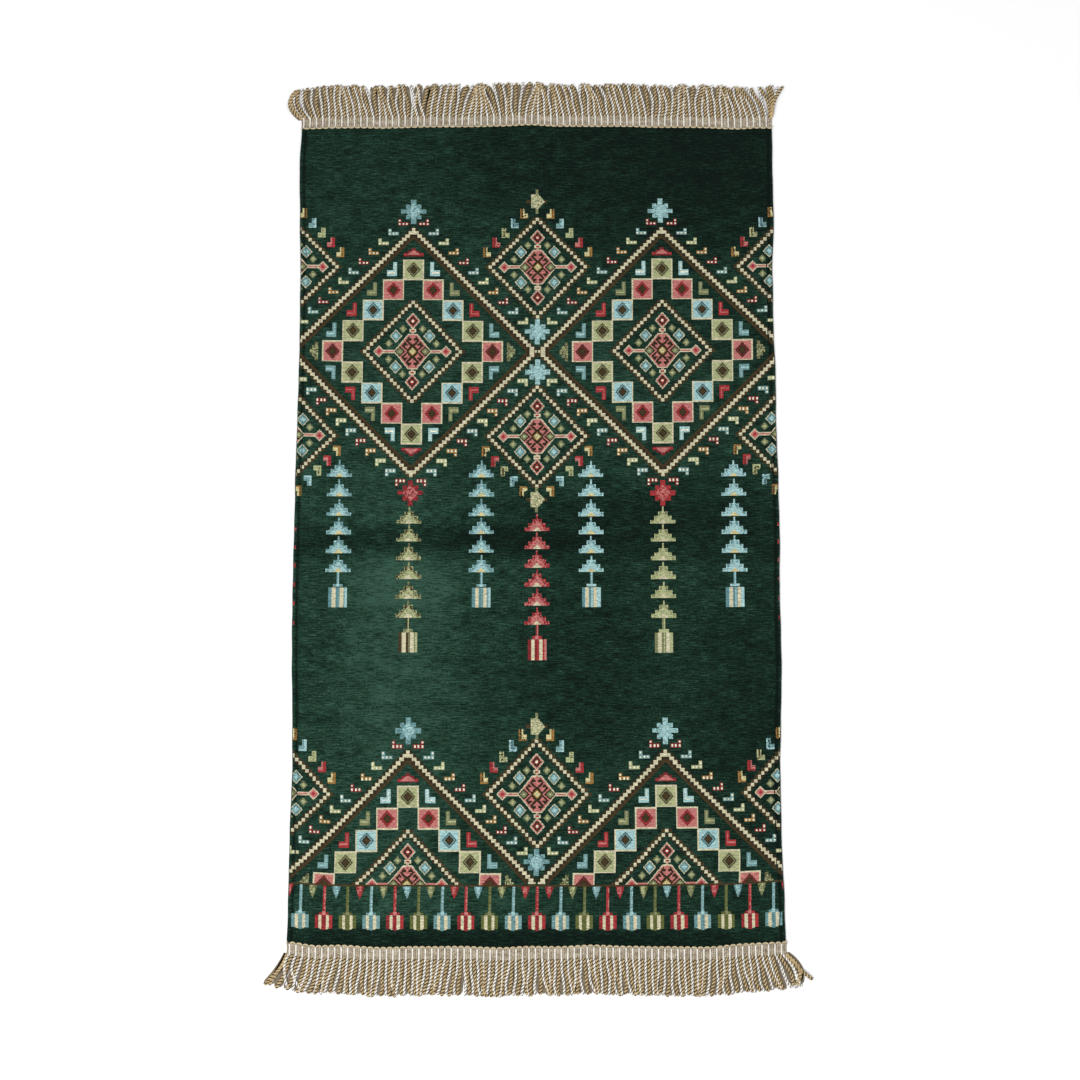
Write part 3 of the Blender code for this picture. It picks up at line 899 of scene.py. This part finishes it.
def yarn_finish(name, colour):
    """Soft spun yarn in tight weft rows, a little darker and lighter from fibre to fibre."""
    finish = Finish("yarn_" + name, roughness=0.90, specular=0.15)
    rows = finish.noise((150.0, 620.0, 0.0), detail=3.0, roughness=0.6)
    fibres = finish.noise((500.0, 620.0, 0.0), detail=2.0, roughness=0.7)
    tone = ((rows - 0.5) * 2.2 + (fibres - 0.5) * 1.8 + 0.5).clamped()
    dark = linear(*(value * 0.72 for value in colour))
    light = linear(*(min(255.0, value * 1.16 + 4.0) for value in colour))
    finish.colour(finish.blend(tone, dark, light))
    finish.relief(rows * 0.7 + fibres * 0.4, 0.0003)
    return finish.material


all_runs = yarn_runs()
for number, (name, colour) in enumerate(YARN_COLOURS.items()):
    points, faces = pad_mesh([run for run in all_runs if run[0] == number])
    piece = add_piece("figure_" + name, points, faces, smooth=False)
    piece.data.materials.append(yarn_finish(name, colour))
    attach(piece, "root")

# ---------------------------------------------------------------------------------------------
# The trim tapes.
# At each end a bought trim is sewn on, with its inner edge lapped over the cloth's: a narrow
# taupe tape of fine ribs, with a white bar at every repeat and a thin rope round its scallops.

PIECE_GAP = 0.0003
TAPE_WIDTH = 0.0165
TAPE_THICKNESS = 0.0016
TAPE_END_INSET = 0.0006
TAPE_BEVEL = 0.0004
TAPE_UNDERSIDE = 0.0003
TAPE_OUTS = (0.0028, 0.0046, 0.0066, 0.0086, 0.0108, 0.0130, 0.0150, TAPE_WIDTH)
LAP_WALL = 0.0023
LAP_GAP = 0.00012
LAP_THICKNESS = 0.0008
SCALLOP_PLACE = 0.0002
ROPE_WIDTH = 0.0019
ROPE_HEIGHT = 0.0018
ROPE_RINGS = 12
ROPE_SHIFT = 0.00057
ROPE_END_SHADE = 1.6
BAR_WIDTH = 0.0020
BAR_RISE = 0.0012
RIBS_A_REPEAT = 4
RIB_DEPTH = 0.00045
COLUMNS_A_REPEAT = 20
BAR_SHADOW = 0.12

# Each row: which end, its first white cord, the step from cord to cord, the numbers of its first
# and last cords (white where they are even, gold where they are odd), and its scallops' height.
End = namedtuple("End", "name node end start step first last arch")
ENDS = (
    End("head", "head_fringe", 1, -0.3383, 0.004600, -4, 153, 0.0014),
    End("foot", "foot_fringe", -1, -0.3376, 0.0044235, -3, 157, 0.0024),
)
TAPE_EDGE = CLOTH_WIDTH / 2 - TAPE_END_INSET


def tape_place(x, end, out):
    """Y of a point of the tape, from its distance outwards from the cloth's edge."""
    return end_edge(2.0 * x / CLOTH_WIDTH, end) + end * (PIECE_GAP + out)


def scallop(x, trim):
    """How far out the tape's inner edge lies: it arches over the cloth between the white bars."""
    phase = (x - trim.start) / (2 * trim.step)
    share = 2.0 * (phase - math.floor(phase)) - 1.0
    return SCALLOP_PLACE + trim.arch * (share * share - 0.5)


def lap_height(x, end):
    """How high the underside of the tape's inner edge lies, on top of the cloth."""
    return float(face_height(np.array(x), np.array(tape_place(x, end, 0.0)))) + LAP_GAP


def tape_mesh(trim):
    """The tape's ribbed face and flat back, column by column, lapped over the cloth's edge."""
    repeat = 2 * trim.step
    columns = int(round(2 * TAPE_EDGE / repeat * COLUMNS_A_REPEAT))
    points, painted_shades = [], []
    for column in range(columns + 1):
        x = -TAPE_EDGE + 2 * TAPE_EDGE * column / columns
        phase = (x - trim.start) / repeat
        rib = abs(math.sin(math.pi * phase * RIBS_A_REPEAT))
        is_bare = abs(phase - round(phase)) > BAR_SHADOW
        rest, inner = lap_height(x, trim.end), scallop(x, trim)
        face = TAPE_THICKNESS + RIB_DEPTH * rib
        heights = [rest + LAP_THICKNESS] + [face] * (len(TAPE_OUTS) - 2) + [face - TAPE_BEVEL]
        profile = [(inner, rest + LAP_THICKNESS - TAPE_BEVEL), *zip(TAPE_OUTS, heights),
                   (TAPE_WIDTH, TAPE_UNDERSIDE), (LAP_WALL, TAPE_UNDERSIDE), (LAP_WALL, rest),
                   (inner, rest)]
        points.extend((x, tape_place(x, trim.end, out), height) for out, height in profile)
        # Painted shade: darker in the grooves between the ribs, and half dark beside each white bar as its
        # painted shadow.
        painted_shades.extend([1.0 - rib if is_bare else 0.5] * len(profile))
    faces = skin(columns + 1, len(profile))
    if trim.end > 0:
        faces = [face[::-1] for face in faces]
    return points, faces, painted_shades


def round_section(sides):
    """A round tube's section: the angle of each corner and how far it reaches."""
    return tuple((2 * math.pi * side / sides, 1.0) for side in range(sides))


def tube(path, widths, heights, section, turns=None):
    """A closed tube along a path of (x, y, z), with a half width and half height at each point."""
    path = np.array(path)
    heading = np.gradient(path[:, :2], axis=0)
    heading = heading / np.maximum(np.linalg.norm(heading, axis=1), 1e-9)[:, None]
    normal = np.stack([-heading[:, 1], heading[:, 0]], axis=1)
    angles, reaches = np.array(section).T
    turned = angles[None, :] + (0.0 if turns is None else np.array(turns)[:, None])
    across = np.cos(turned) * reaches * np.array(widths)[:, None]
    rise = np.sin(turned) * reaches * np.array(heights)[:, None]
    points = np.stack([path[:, None, 0] + normal[:, None, 0] * across,
                       path[:, None, 1] + normal[:, None, 1] * across, path[:, None, 2] + rise], axis=2)
    return points.reshape(-1, 3), skin(len(path), len(section))


class Bundle:
    """Several tubes gathered into one piece."""

    def __init__(self):
        self.points, self.faces, self.painted_shades = [], [], []

    def add(self, tube_mesh, painted_shades=None):
        points, faces = tube_mesh
        start = len(self.points)
        self.points.extend(points)
        self.faces.extend(tuple(corner + start for corner in face) for face in faces)
        self.painted_shades.extend([0.0] * len(points) if painted_shades is None else painted_shades)

    def piece(self, name, material):
        piece = add_piece(name, self.points, self.faces, painted_shades=self.painted_shades)
        piece.data.materials.append(material)
        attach(piece, "root")
        return piece


def tape_finish():
    finish = Finish("tape_weave", roughness=0.9, specular=0.15)
    wefts = finish.noise((420.0, 1100.0, 0.0), detail=2.0, roughness=0.7)
    blotches = finish.noise((90.0, 160.0, 0.0), detail=2.0)
    tone = ((wefts - 0.5) * 3.2 + (blotches - 0.5) * 1.6 + 0.5).clamped()
    face = finish.blend(tone, linear(112, 98, 76), linear(222, 212, 192))
    # The dark brown is painted shade, laid where the mesh's painted shade value is high.
    finish.colour(finish.blend((finish.painted_shade() * 0.95).clamped(), face, linear(84, 70, 50)))
    finish.relief(wefts, 0.0004)
    return finish.material


def cord_finish(name, deep, dark, light):
    """Glossy spun yarn of a trim cord, with fine fibres along it and shadow between its plies."""
    finish = Finish(name, roughness=0.75, specular=0.25)
    fibres = finish.noise((1400.0, 420.0, 900.0), detail=3.0, roughness=0.65)
    patches = finish.noise((150.0, 150.0, 0.0), detail=1.0)
    tone = ((fibres - 0.5) * 1.6 + (patches - 0.5) * 0.9 + 0.5).clamped()
    face = finish.blend(tone, linear(*dark), linear(*light))
    # The deep colour is painted shade, laid where the mesh's painted shade value is high.
    finish.colour(finish.blend((finish.painted_shade() * 2.4 - 0.35).clamped(), face, linear(*deep)))
    finish.relief(fibres, 0.0003)
    return finish.material


TAPE_MATERIAL = tape_finish()
ROPE_MATERIAL = cord_finish("rope_edge", (70, 54, 32), (164, 144, 104), (222, 208, 174))
WHITE_MATERIAL = cord_finish("white_cord", (104, 96, 82), (216, 211, 202), (252, 250, 245))
ROUND_SECTION = round_section(8)
BAR_OUTS = (0.0018, 0.0022, 0.0030, 0.0046, 0.0085, 0.0130, 0.0175)
BAR_SIZES = (0.35, 0.8, 1.0, 1.0, 1.0, 1.0, 1.0)
ON_LAP = 3
tapes, trim_pieces = [], {}
for trim in ENDS:
    points, faces, painted_shades = tape_mesh(trim)
    tape = add_piece(trim.name + "_tape", points, faces, painted_shades=painted_shades)
    tape.data.materials.append(TAPE_MATERIAL)
    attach(tape, "root")
    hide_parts(trim.node)
    bars, rope = Bundle(), Bundle()
    for place in range(0, int((TAPE_EDGE - trim.start) / trim.step) + 1, 2):
        x = trim.start + place * trim.step
        lap = lap_height(x, trim.end) + LAP_THICKNESS
        heights = [lap] * ON_LAP + [TAPE_THICKNESS] * (len(BAR_OUTS) - ON_LAP)
        path = [(x, tape_place(x, trim.end, out), height) for out, height in zip(BAR_OUTS, heights)]
        sizes = np.array(BAR_SIZES)
        bars.add(tube(path, BAR_WIDTH / 2 * sizes, BAR_RISE * sizes, ROUND_SECTION))
        if x >= TAPE_EDGE - trim.step:
            continue
        shares = np.linspace(-1.0, 1.0, ROPE_RINGS + 1)
        path = []
        for share in shares:
            rope_x = min(x + (1.0 + share) * trim.step, TAPE_EDGE)
            edge = SCALLOP_PLACE + trim.arch * (share * share - 0.5) + ROPE_SHIFT
            path.append((rope_x, tape_place(rope_x, trim.end, edge), lap))
        sizes = 0.5 + 0.5 * np.sqrt(1.0 - shares ** 4)
        # Painted shade: the rope darker where it thins towards each scallop's end.
        painted_shades = list(np.repeat(ROPE_END_SHADE * (1.0 - sizes), len(ROUND_SECTION)))
        rope.add(tube(path, ROPE_WIDTH / 2 * sizes, ROPE_HEIGHT / 2 * sizes, ROUND_SECTION), painted_shades)
    tapes.append(tape)
    trim_pieces[trim.name] = [bars.piece(trim.name + "_bars", WHITE_MATERIAL),
                              rope.piece(trim.name + "_rope", ROPE_MATERIAL)]

# ---------------------------------------------------------------------------------------------
# The fringes.
# Gold cords and thinner white cords take turns along each tape. Each is two plies twisted
# tightly together, and a layer of flat grey-beige cords lies under them.

CORD_LENGTH = 0.0503
CORD_UNEVENNESS = 0.0015
EARLY_LEAN = 0.6
BELLY_COST = 0.4
GOLD_WIDTH = 0.0051
WHITE_WIDTH = 0.0041
CORD_FLATNESS = 0.70
CORD_ROOT = 0.0155
ROOT_HEIGHT = 0.0013
ROOT_SIZE = 0.55
ROOT_LENGTH = 0.0028
TIP_SIZE = 0.15
STACK_FALL = 1.2
SIDE_SHADE = 0.9
ROOT_MARGIN = 0.0012
BUNCHING = 0.0022
QUICK_BUNCH = 0.93
SLOW_BUNCH = 0.37
TURN_LENGTH = 0.0100
CORD_STEPS = 58
CORD_LIFT = 0.0006
CORD_SWAY = 0.0028
SWAY_TURN = 6.5
LEAST_SWAY = 0.2
CORD_STACK = 0.0010
UNDER_WIDTH = 0.0052
UNDER_HEIGHT = 0.0013
UNDER_LIFT = 0.000715
UNDER_STEPS = 12
UNDER_SHARE = 0.97
UNDER_SHIFTS = (-0.75, 0.0, 0.75)
UNDER_TIP = 0.6
ON_TOP = 0.0015

# A cord's section: two plies, each with a crown between two shoulders, and a groove after it.
SHOULDER_ANGLE = math.radians(46)
SHOULDER_REACH = 0.93
GROOVE_REACH = 0.52
CORD_SECTION = tuple(corner for ply in (0, 1) for corner in (
    (math.pi * ply - SHOULDER_ANGLE, SHOULDER_REACH), (math.pi * ply, 1.0),
    (math.pi * ply + SHOULDER_ANGLE, SHOULDER_REACH), (math.pi * (ply + 0.5), GROOVE_REACH)))

# Each row: a place along the tape from its left end, and there how far the cords' tips lean
# and how far their middles swell sideways.
Lock = namedtuple("Lock", "along tip belly")
HEAD_LOCKS = named(Lock, (
    (0.003, -0.0060, -0.0170), (0.012, -0.0145, -0.0072), (0.022, -0.0120, -0.0040),
    (0.034, -0.0030, 0.0), (0.050, -0.0040, 0.0), (0.065, -0.0026, 0.0), (0.078, -0.0114, 0.0),
    (0.092, -0.0130, 0.0), (0.105, -0.0160, 0.0), (0.112, -0.0045, 0.0), (0.122, -0.0105, 0.0),
    (0.135, -0.0040, -0.0030), (0.155, -0.0030, 0.0), (0.160, 0.0060, 0.0), (0.201, 0.0066, 0.0),
    (0.224, 0.0100, 0.0), (0.240, 0.0160, 0.0), (0.258, 0.0000, 0.0), (0.271, -0.0130, 0.0),
    (0.281, -0.0160, 0.0), (0.289, -0.0080, 0.0), (0.299, -0.0040, 0.0), (0.307, 0.0010, -0.0030),
    (0.318, 0.0090, 0.0), (0.328, 0.0140, 0.0), (0.339, 0.0030, 0.0), (0.351, -0.0030, 0.0),
    (0.360, -0.0090, 0.0), (0.366, -0.0020, 0.0), (0.383, -0.0120, 0.0), (0.402, -0.0150, 0.0),
    (0.409, -0.0040, 0.0), (0.421, -0.0100, 0.0), (0.437, -0.0150, 0.0), (0.446, -0.0080, 0.0),
    (0.463, -0.0110, 0.0), (0.501, -0.0110, 0.0), (0.514, -0.0040, 0.0030),
    (0.530, -0.0010, 0.0040), (0.543, 0.0070, 0.0), (0.562, -0.0050, 0.0), (0.580, 0.0010, -0.0020),
    (0.612, -0.0030, 0.0), (0.631, -0.0120, 0.0), (0.645, -0.0180, 0.0), (0.660, -0.0220, 0.0),
    (0.671, -0.0170, 0.0), (0.679, -0.0080, 0.0),
))
FOOT_LOCKS = named(Lock, (
    (0.000, -0.0250, 0.0010), (0.014, -0.0195, 0.0010), (0.026, -0.0150, 0.0010),
    (0.034, -0.0120, -0.0005), (0.055, -0.0110, -0.0005), (0.100, -0.0070, 0.0),
    (0.137, 0.0000, 0.0), (0.165, -0.0030, 0.0), (0.215, -0.0070, 0.0), (0.238, -0.0080, 0.0),
    (0.242, 0.0025, 0.0), (0.268, 0.0015, -0.0005), (0.305, -0.0050, 0.0), (0.336, -0.0020, 0.0),
    (0.350, 0.0065, 0.0), (0.385, 0.0025, 0.0), (0.404, -0.0010, 0.0), (0.410, 0.0075, 0.0),
    (0.455, 0.0055, 0.0), (0.485, 0.0005, 0.0), (0.545, 0.0020, 0.0), (0.578, -0.0045, 0.0),
    (0.583, 0.0000, 0.0), (0.632, 0.0078, 0.0), (0.645, 0.0117, 0.0), (0.658, 0.0200, 0.0),
    (0.666, 0.0200, 0.0), (0.677, 0.0270, 0.0),
))

# Each row: a cord that strays from its lock, by its number: its tip's lean, its middle's swell
# and how far its tip lies on top of its neighbours.
Stray = namedtuple("Stray", "number tip belly rise")
HEAD_STRAYS = named(Stray, (
    (-4, -0.0040, -0.0150, 0.0004), (-3, -0.0060, -0.0170, 0.0016), (-2, -0.0100, -0.0140, 0.0004),
    (-1, -0.0085, -0.0120, 0.0014), (0, -0.0110, -0.0100, 0.0006), (1, -0.0125, -0.0085, 0.0016),
    (33, -0.0060, 0.0, 0.0004), (34, 0.0100, 0.0, 0.0010), (36, -0.0100, -0.0020, 0.0022),
    (38, -0.0120, -0.0020, 0.0024), (143, -0.0210, 0.0, 0.0022), (145, -0.0170, 0.0010, 0.0024),
    (146, -0.0120, 0.0, 0.0004), (147, -0.0130, 0.0030, 0.0026), (148, -0.0040, 0.0, 0.0008),
    (149, -0.0070, 0.0040, 0.0028), (150, 0.0020, 0.0, 0.0006), (151, -0.0010, 0.0030, 0.0030),
    (152, 0.0120, 0.0, 0.0012), (153, 0.0165, -0.0010, 0.0024),
))
FOOT_STRAYS = named(Stray, (
    (-3, -0.0290, 0.0, 0.0010), (-2, -0.0255, 0.0, 0.0004), (-1, -0.0245, -0.0010, 0.0014),
    (0, 0.0020, -0.0080, 0.0030), (1, -0.0205, -0.0020, 0.0012), (2, 0.0050, -0.0060, 0.0026),
    (3, -0.0165, 0.0, 0.0012), (4, -0.0140, -0.0010, 0.0018), (59, 0.0070, 0.0, 0.0020),
    (61, -0.0060, 0.0, 0.0024), (150, 0.0220, 0.0020, 0.0004), (151, 0.0205, 0.0050, 0.0014),
    (152, 0.0215, 0.0080, 0.0006), (153, 0.0190, 0.0100, 0.0014), (154, 0.0130, 0.0070, 0.0006),
    (155, 0.0150, 0.0120, 0.0014), (156, 0.0230, 0.0020, 0.0020), (157, 0.0370, 0.0, 0.0026),
))


def cord_line(root_x, end, lean_of, length, steps, sway=0.0, phase=0.0):
    """The (x, y) places along one cord, from its root on the tape to its tip."""
    tip, belly = lean_of
    reach = math.sqrt(length ** 2 - tip ** 2) - BELLY_COST * abs(belly)
    root_y = tape_place(root_x, end, CORD_ROOT)
    line = []
    for step in range(steps + 1):
        share = step / steps
        lean = tip * share * (EARLY_LEAN + (1.0 - EARLY_LEAN) * share)
        lean += sway * share * math.sin(phase + SWAY_TURN * share)
        line.append((root_x + lean + belly * 4.0 * share * (1.0 - share), root_y + end * reach * share))
    return line


def rounding(left, size):
    """How wide a tube is near its round tip, from the length that is left and the tip's size."""
    closing = np.clip(left / size, 0.0, 1.0)
    return np.maximum(np.sqrt(1.0 - (1.0 - closing) ** 2), TIP_SIZE)


def add_twisted_cord(bundle, line, width, start_turn, stack):
    """Two plies laid round each other along a line, from inside the tape to a round tip."""
    line = np.array(line)
    run = np.concatenate(([0.0], np.cumsum(np.linalg.norm(np.diff(line, axis=0), axis=1))))
    share = run / run[-1]
    opening = np.clip(run / ROOT_LENGTH, 0.0, 1.0)
    size = (ROOT_SIZE + (1.0 - ROOT_SIZE) * opening) * rounding(run[-1] - run, width * 0.5)
    rest = width / 2 * CORD_FLATNESS + CORD_LIFT + stack * np.sqrt(share) * (STACK_FALL - share)
    height = ROOT_HEIGHT + (rest - ROOT_HEIGHT) * opening
    path = np.column_stack([line, height])
    turns = start_turn + run / TURN_LENGTH * 2 * math.pi
    angles, reaches = np.array(CORD_SECTION).T
    # Painted shade: dark in the grooves between the plies and along each cord's low sides, where the cords
    # shade each other.
    groove = (reaches < SHOULDER_REACH)[None, :] * 1.0
    side_shade = np.clip(0.5 - SIDE_SHADE * np.sin(angles[None, :] + turns[:, None]), 0.0, 1.0)
    mesh = tube(path, width / 2 * size, width / 2 * CORD_FLATNESS * size, CORD_SECTION, turns)
    bundle.add(mesh, list(np.maximum(groove, side_shade).reshape(-1)))


GOLD_MATERIAL = cord_finish("gold_cord", (36, 27, 13), (148, 121, 78), (218, 195, 150))
# The under cords are coloured darker than their own grey-beige, as painted shade in the gaps between the
# cords above.
UNDER_CORD_SHADE_MATERIAL = cord_finish("under_cord", (84, 74, 58), (88, 75, 54), (142, 130, 110))
UNDER_SECTION = round_section(6)
TABLES = ((HEAD_LOCKS, HEAD_STRAYS, 11), (FOOT_LOCKS, FOOT_STRAYS, 23))
for trim, (locks, strays, seed) in zip(ENDS, TABLES):
    chance = random.Random(seed)
    gold, white, under = Bundle(), Bundle(), Bundle()
    own_way = {stray.number: stray for stray in strays}
    for number in range(trim.first, trim.last + 1):
        root_x = trim.start + number * trim.step
        root_x = max(-TAPE_EDGE + ROOT_MARGIN, min(TAPE_EDGE - ROOT_MARGIN, root_x))
        place = root_x + CLOTH_WIDTH / 2
        bunch = BUNCHING * (math.sin(QUICK_BUNCH * number + seed) + math.sin(SLOW_BUNCH * number))
        tip = float(read_column(locks, "tip", place)) + bunch
        lean_of = (tip, float(read_column(locks, "belly", place)))
        length = CORD_LENGTH + chance.uniform(-CORD_UNEVENNESS, CORD_UNEVENNESS)
        sway, phase = chance.uniform(LEAST_SWAY, 1.0) * CORD_SWAY, chance.uniform(0.0, 2 * math.pi)
        stack, turn = chance.uniform(0.0, CORD_STACK), chance.uniform(0.0, 2 * math.pi)
        is_white = number % 2 == 0
        if number in own_way:
            stray = own_way[number]
            lean_of, stack = (stray.tip, stray.belly), stray.rise
        is_low = stack < ON_TOP
        if is_low and not is_white:
            under_length = length * UNDER_SHARE
            sizes = rounding(np.linspace(under_length, 0.0, UNDER_STEPS + 1), UNDER_WIDTH * UNDER_TIP)
            for shift in UNDER_SHIFTS:
                under_x = root_x + shift * trim.step
                line = cord_line(under_x, trim.end, lean_of, under_length, UNDER_STEPS)
                path = [(x, y, UNDER_LIFT) for x, y in line]
                under.add(tube(path, UNDER_WIDTH / 2 * sizes, UNDER_HEIGHT / 2 * sizes, UNDER_SECTION))
        line = cord_line(root_x, trim.end, lean_of, length, CORD_STEPS, sway, phase)
        bundle, width = (white, WHITE_WIDTH) if is_white else (gold, GOLD_WIDTH)
        add_twisted_cord(bundle, line, width, turn, stack)
    trim_pieces[trim.name] += [gold.piece(trim.name + "_gold_cords", GOLD_MATERIAL),
                               white.piece(trim.name + "_white_cords", WHITE_MATERIAL),
                               under.piece(trim.name + "_under_cords", UNDER_CORD_SHADE_MATERIAL)]

# ---------------------------------------------------------------------------------------------
# The floor, the light and the camera.
# A plain near white floor under broad soft light, seen from almost straight above, as in the
# photograph.

FLOOR_REACH = 6.0
CAMERA_DISTANCE = 2.88
CAMERA_TILT = math.radians(8.6)
LOOK_X = 0.0047
LOOK_Y = -0.0224
FOCAL_PIXELS = 2044.2
PHOTO_PIXELS = 1080
SENSOR_WIDTH = 36.0
SURROUND_LIGHT = 0.60

corners = [(x * FLOOR_REACH, y * FLOOR_REACH, 0.0) for x, y in ((-1, -1), (1, -1), (1, 1), (-1, 1))]
floor = add_piece("floor", corners, [(0, 1, 2, 3)])
floor_finish = Finish("floor_paint", roughness=0.9, specular=0.1)
floor_mottle = floor_finish.noise((1.5, 1.5, 0.0))
floor_finish.colour(floor_finish.blend(floor_mottle, (0.93, 0.93, 0.93, 1.0), (0.95, 0.95, 0.95, 1.0)))
floor.data.materials.append(floor_finish.material)

scene = bpy.context.scene
world = bpy.data.worlds.new("studio")
world.use_nodes = True
background = world.node_tree.nodes["Background"]
background.inputs["Color"].default_value = (1.0, 1.0, 1.0, 1.0)
background.inputs["Strength"].default_value = SURROUND_LIGHT
scene.world = world
scene.view_settings.view_transform = "Standard"


def add_light(name, place, size, power):
    """A square soft light that faces the middle of the rug."""
    data = bpy.data.lights.new(name, "AREA")
    data.size = size
    data.energy = power
    light = bpy.data.objects.new(name, data)
    light.location = place
    x, y, z = place
    light.rotation_euler = (math.atan2(math.hypot(x, y), z), 0.0, math.atan2(y, x) + math.pi / 2)
    scene.collection.objects.link(light)


add_light("key_light", (-1.4, -1.4, 2.8), size=1.6, power=75.0)
add_light("fill_light", (1.8, 0.6, 2.8), size=2.4, power=20.0)

camera_data = bpy.data.cameras.new("camera")
camera_data.sensor_width = SENSOR_WIDTH
camera_data.lens = FOCAL_PIXELS / PHOTO_PIXELS * SENSOR_WIDTH
camera = bpy.data.objects.new("camera", camera_data)
camera_y = LOOK_Y - CAMERA_DISTANCE * math.sin(CAMERA_TILT)
camera.location = (LOOK_X, camera_y, CAMERA_DISTANCE * math.cos(CAMERA_TILT))
camera.rotation_euler = (CAMERA_TILT, 0.0, 0.0)
scene.collection.objects.link(camera)
scene.camera = camera
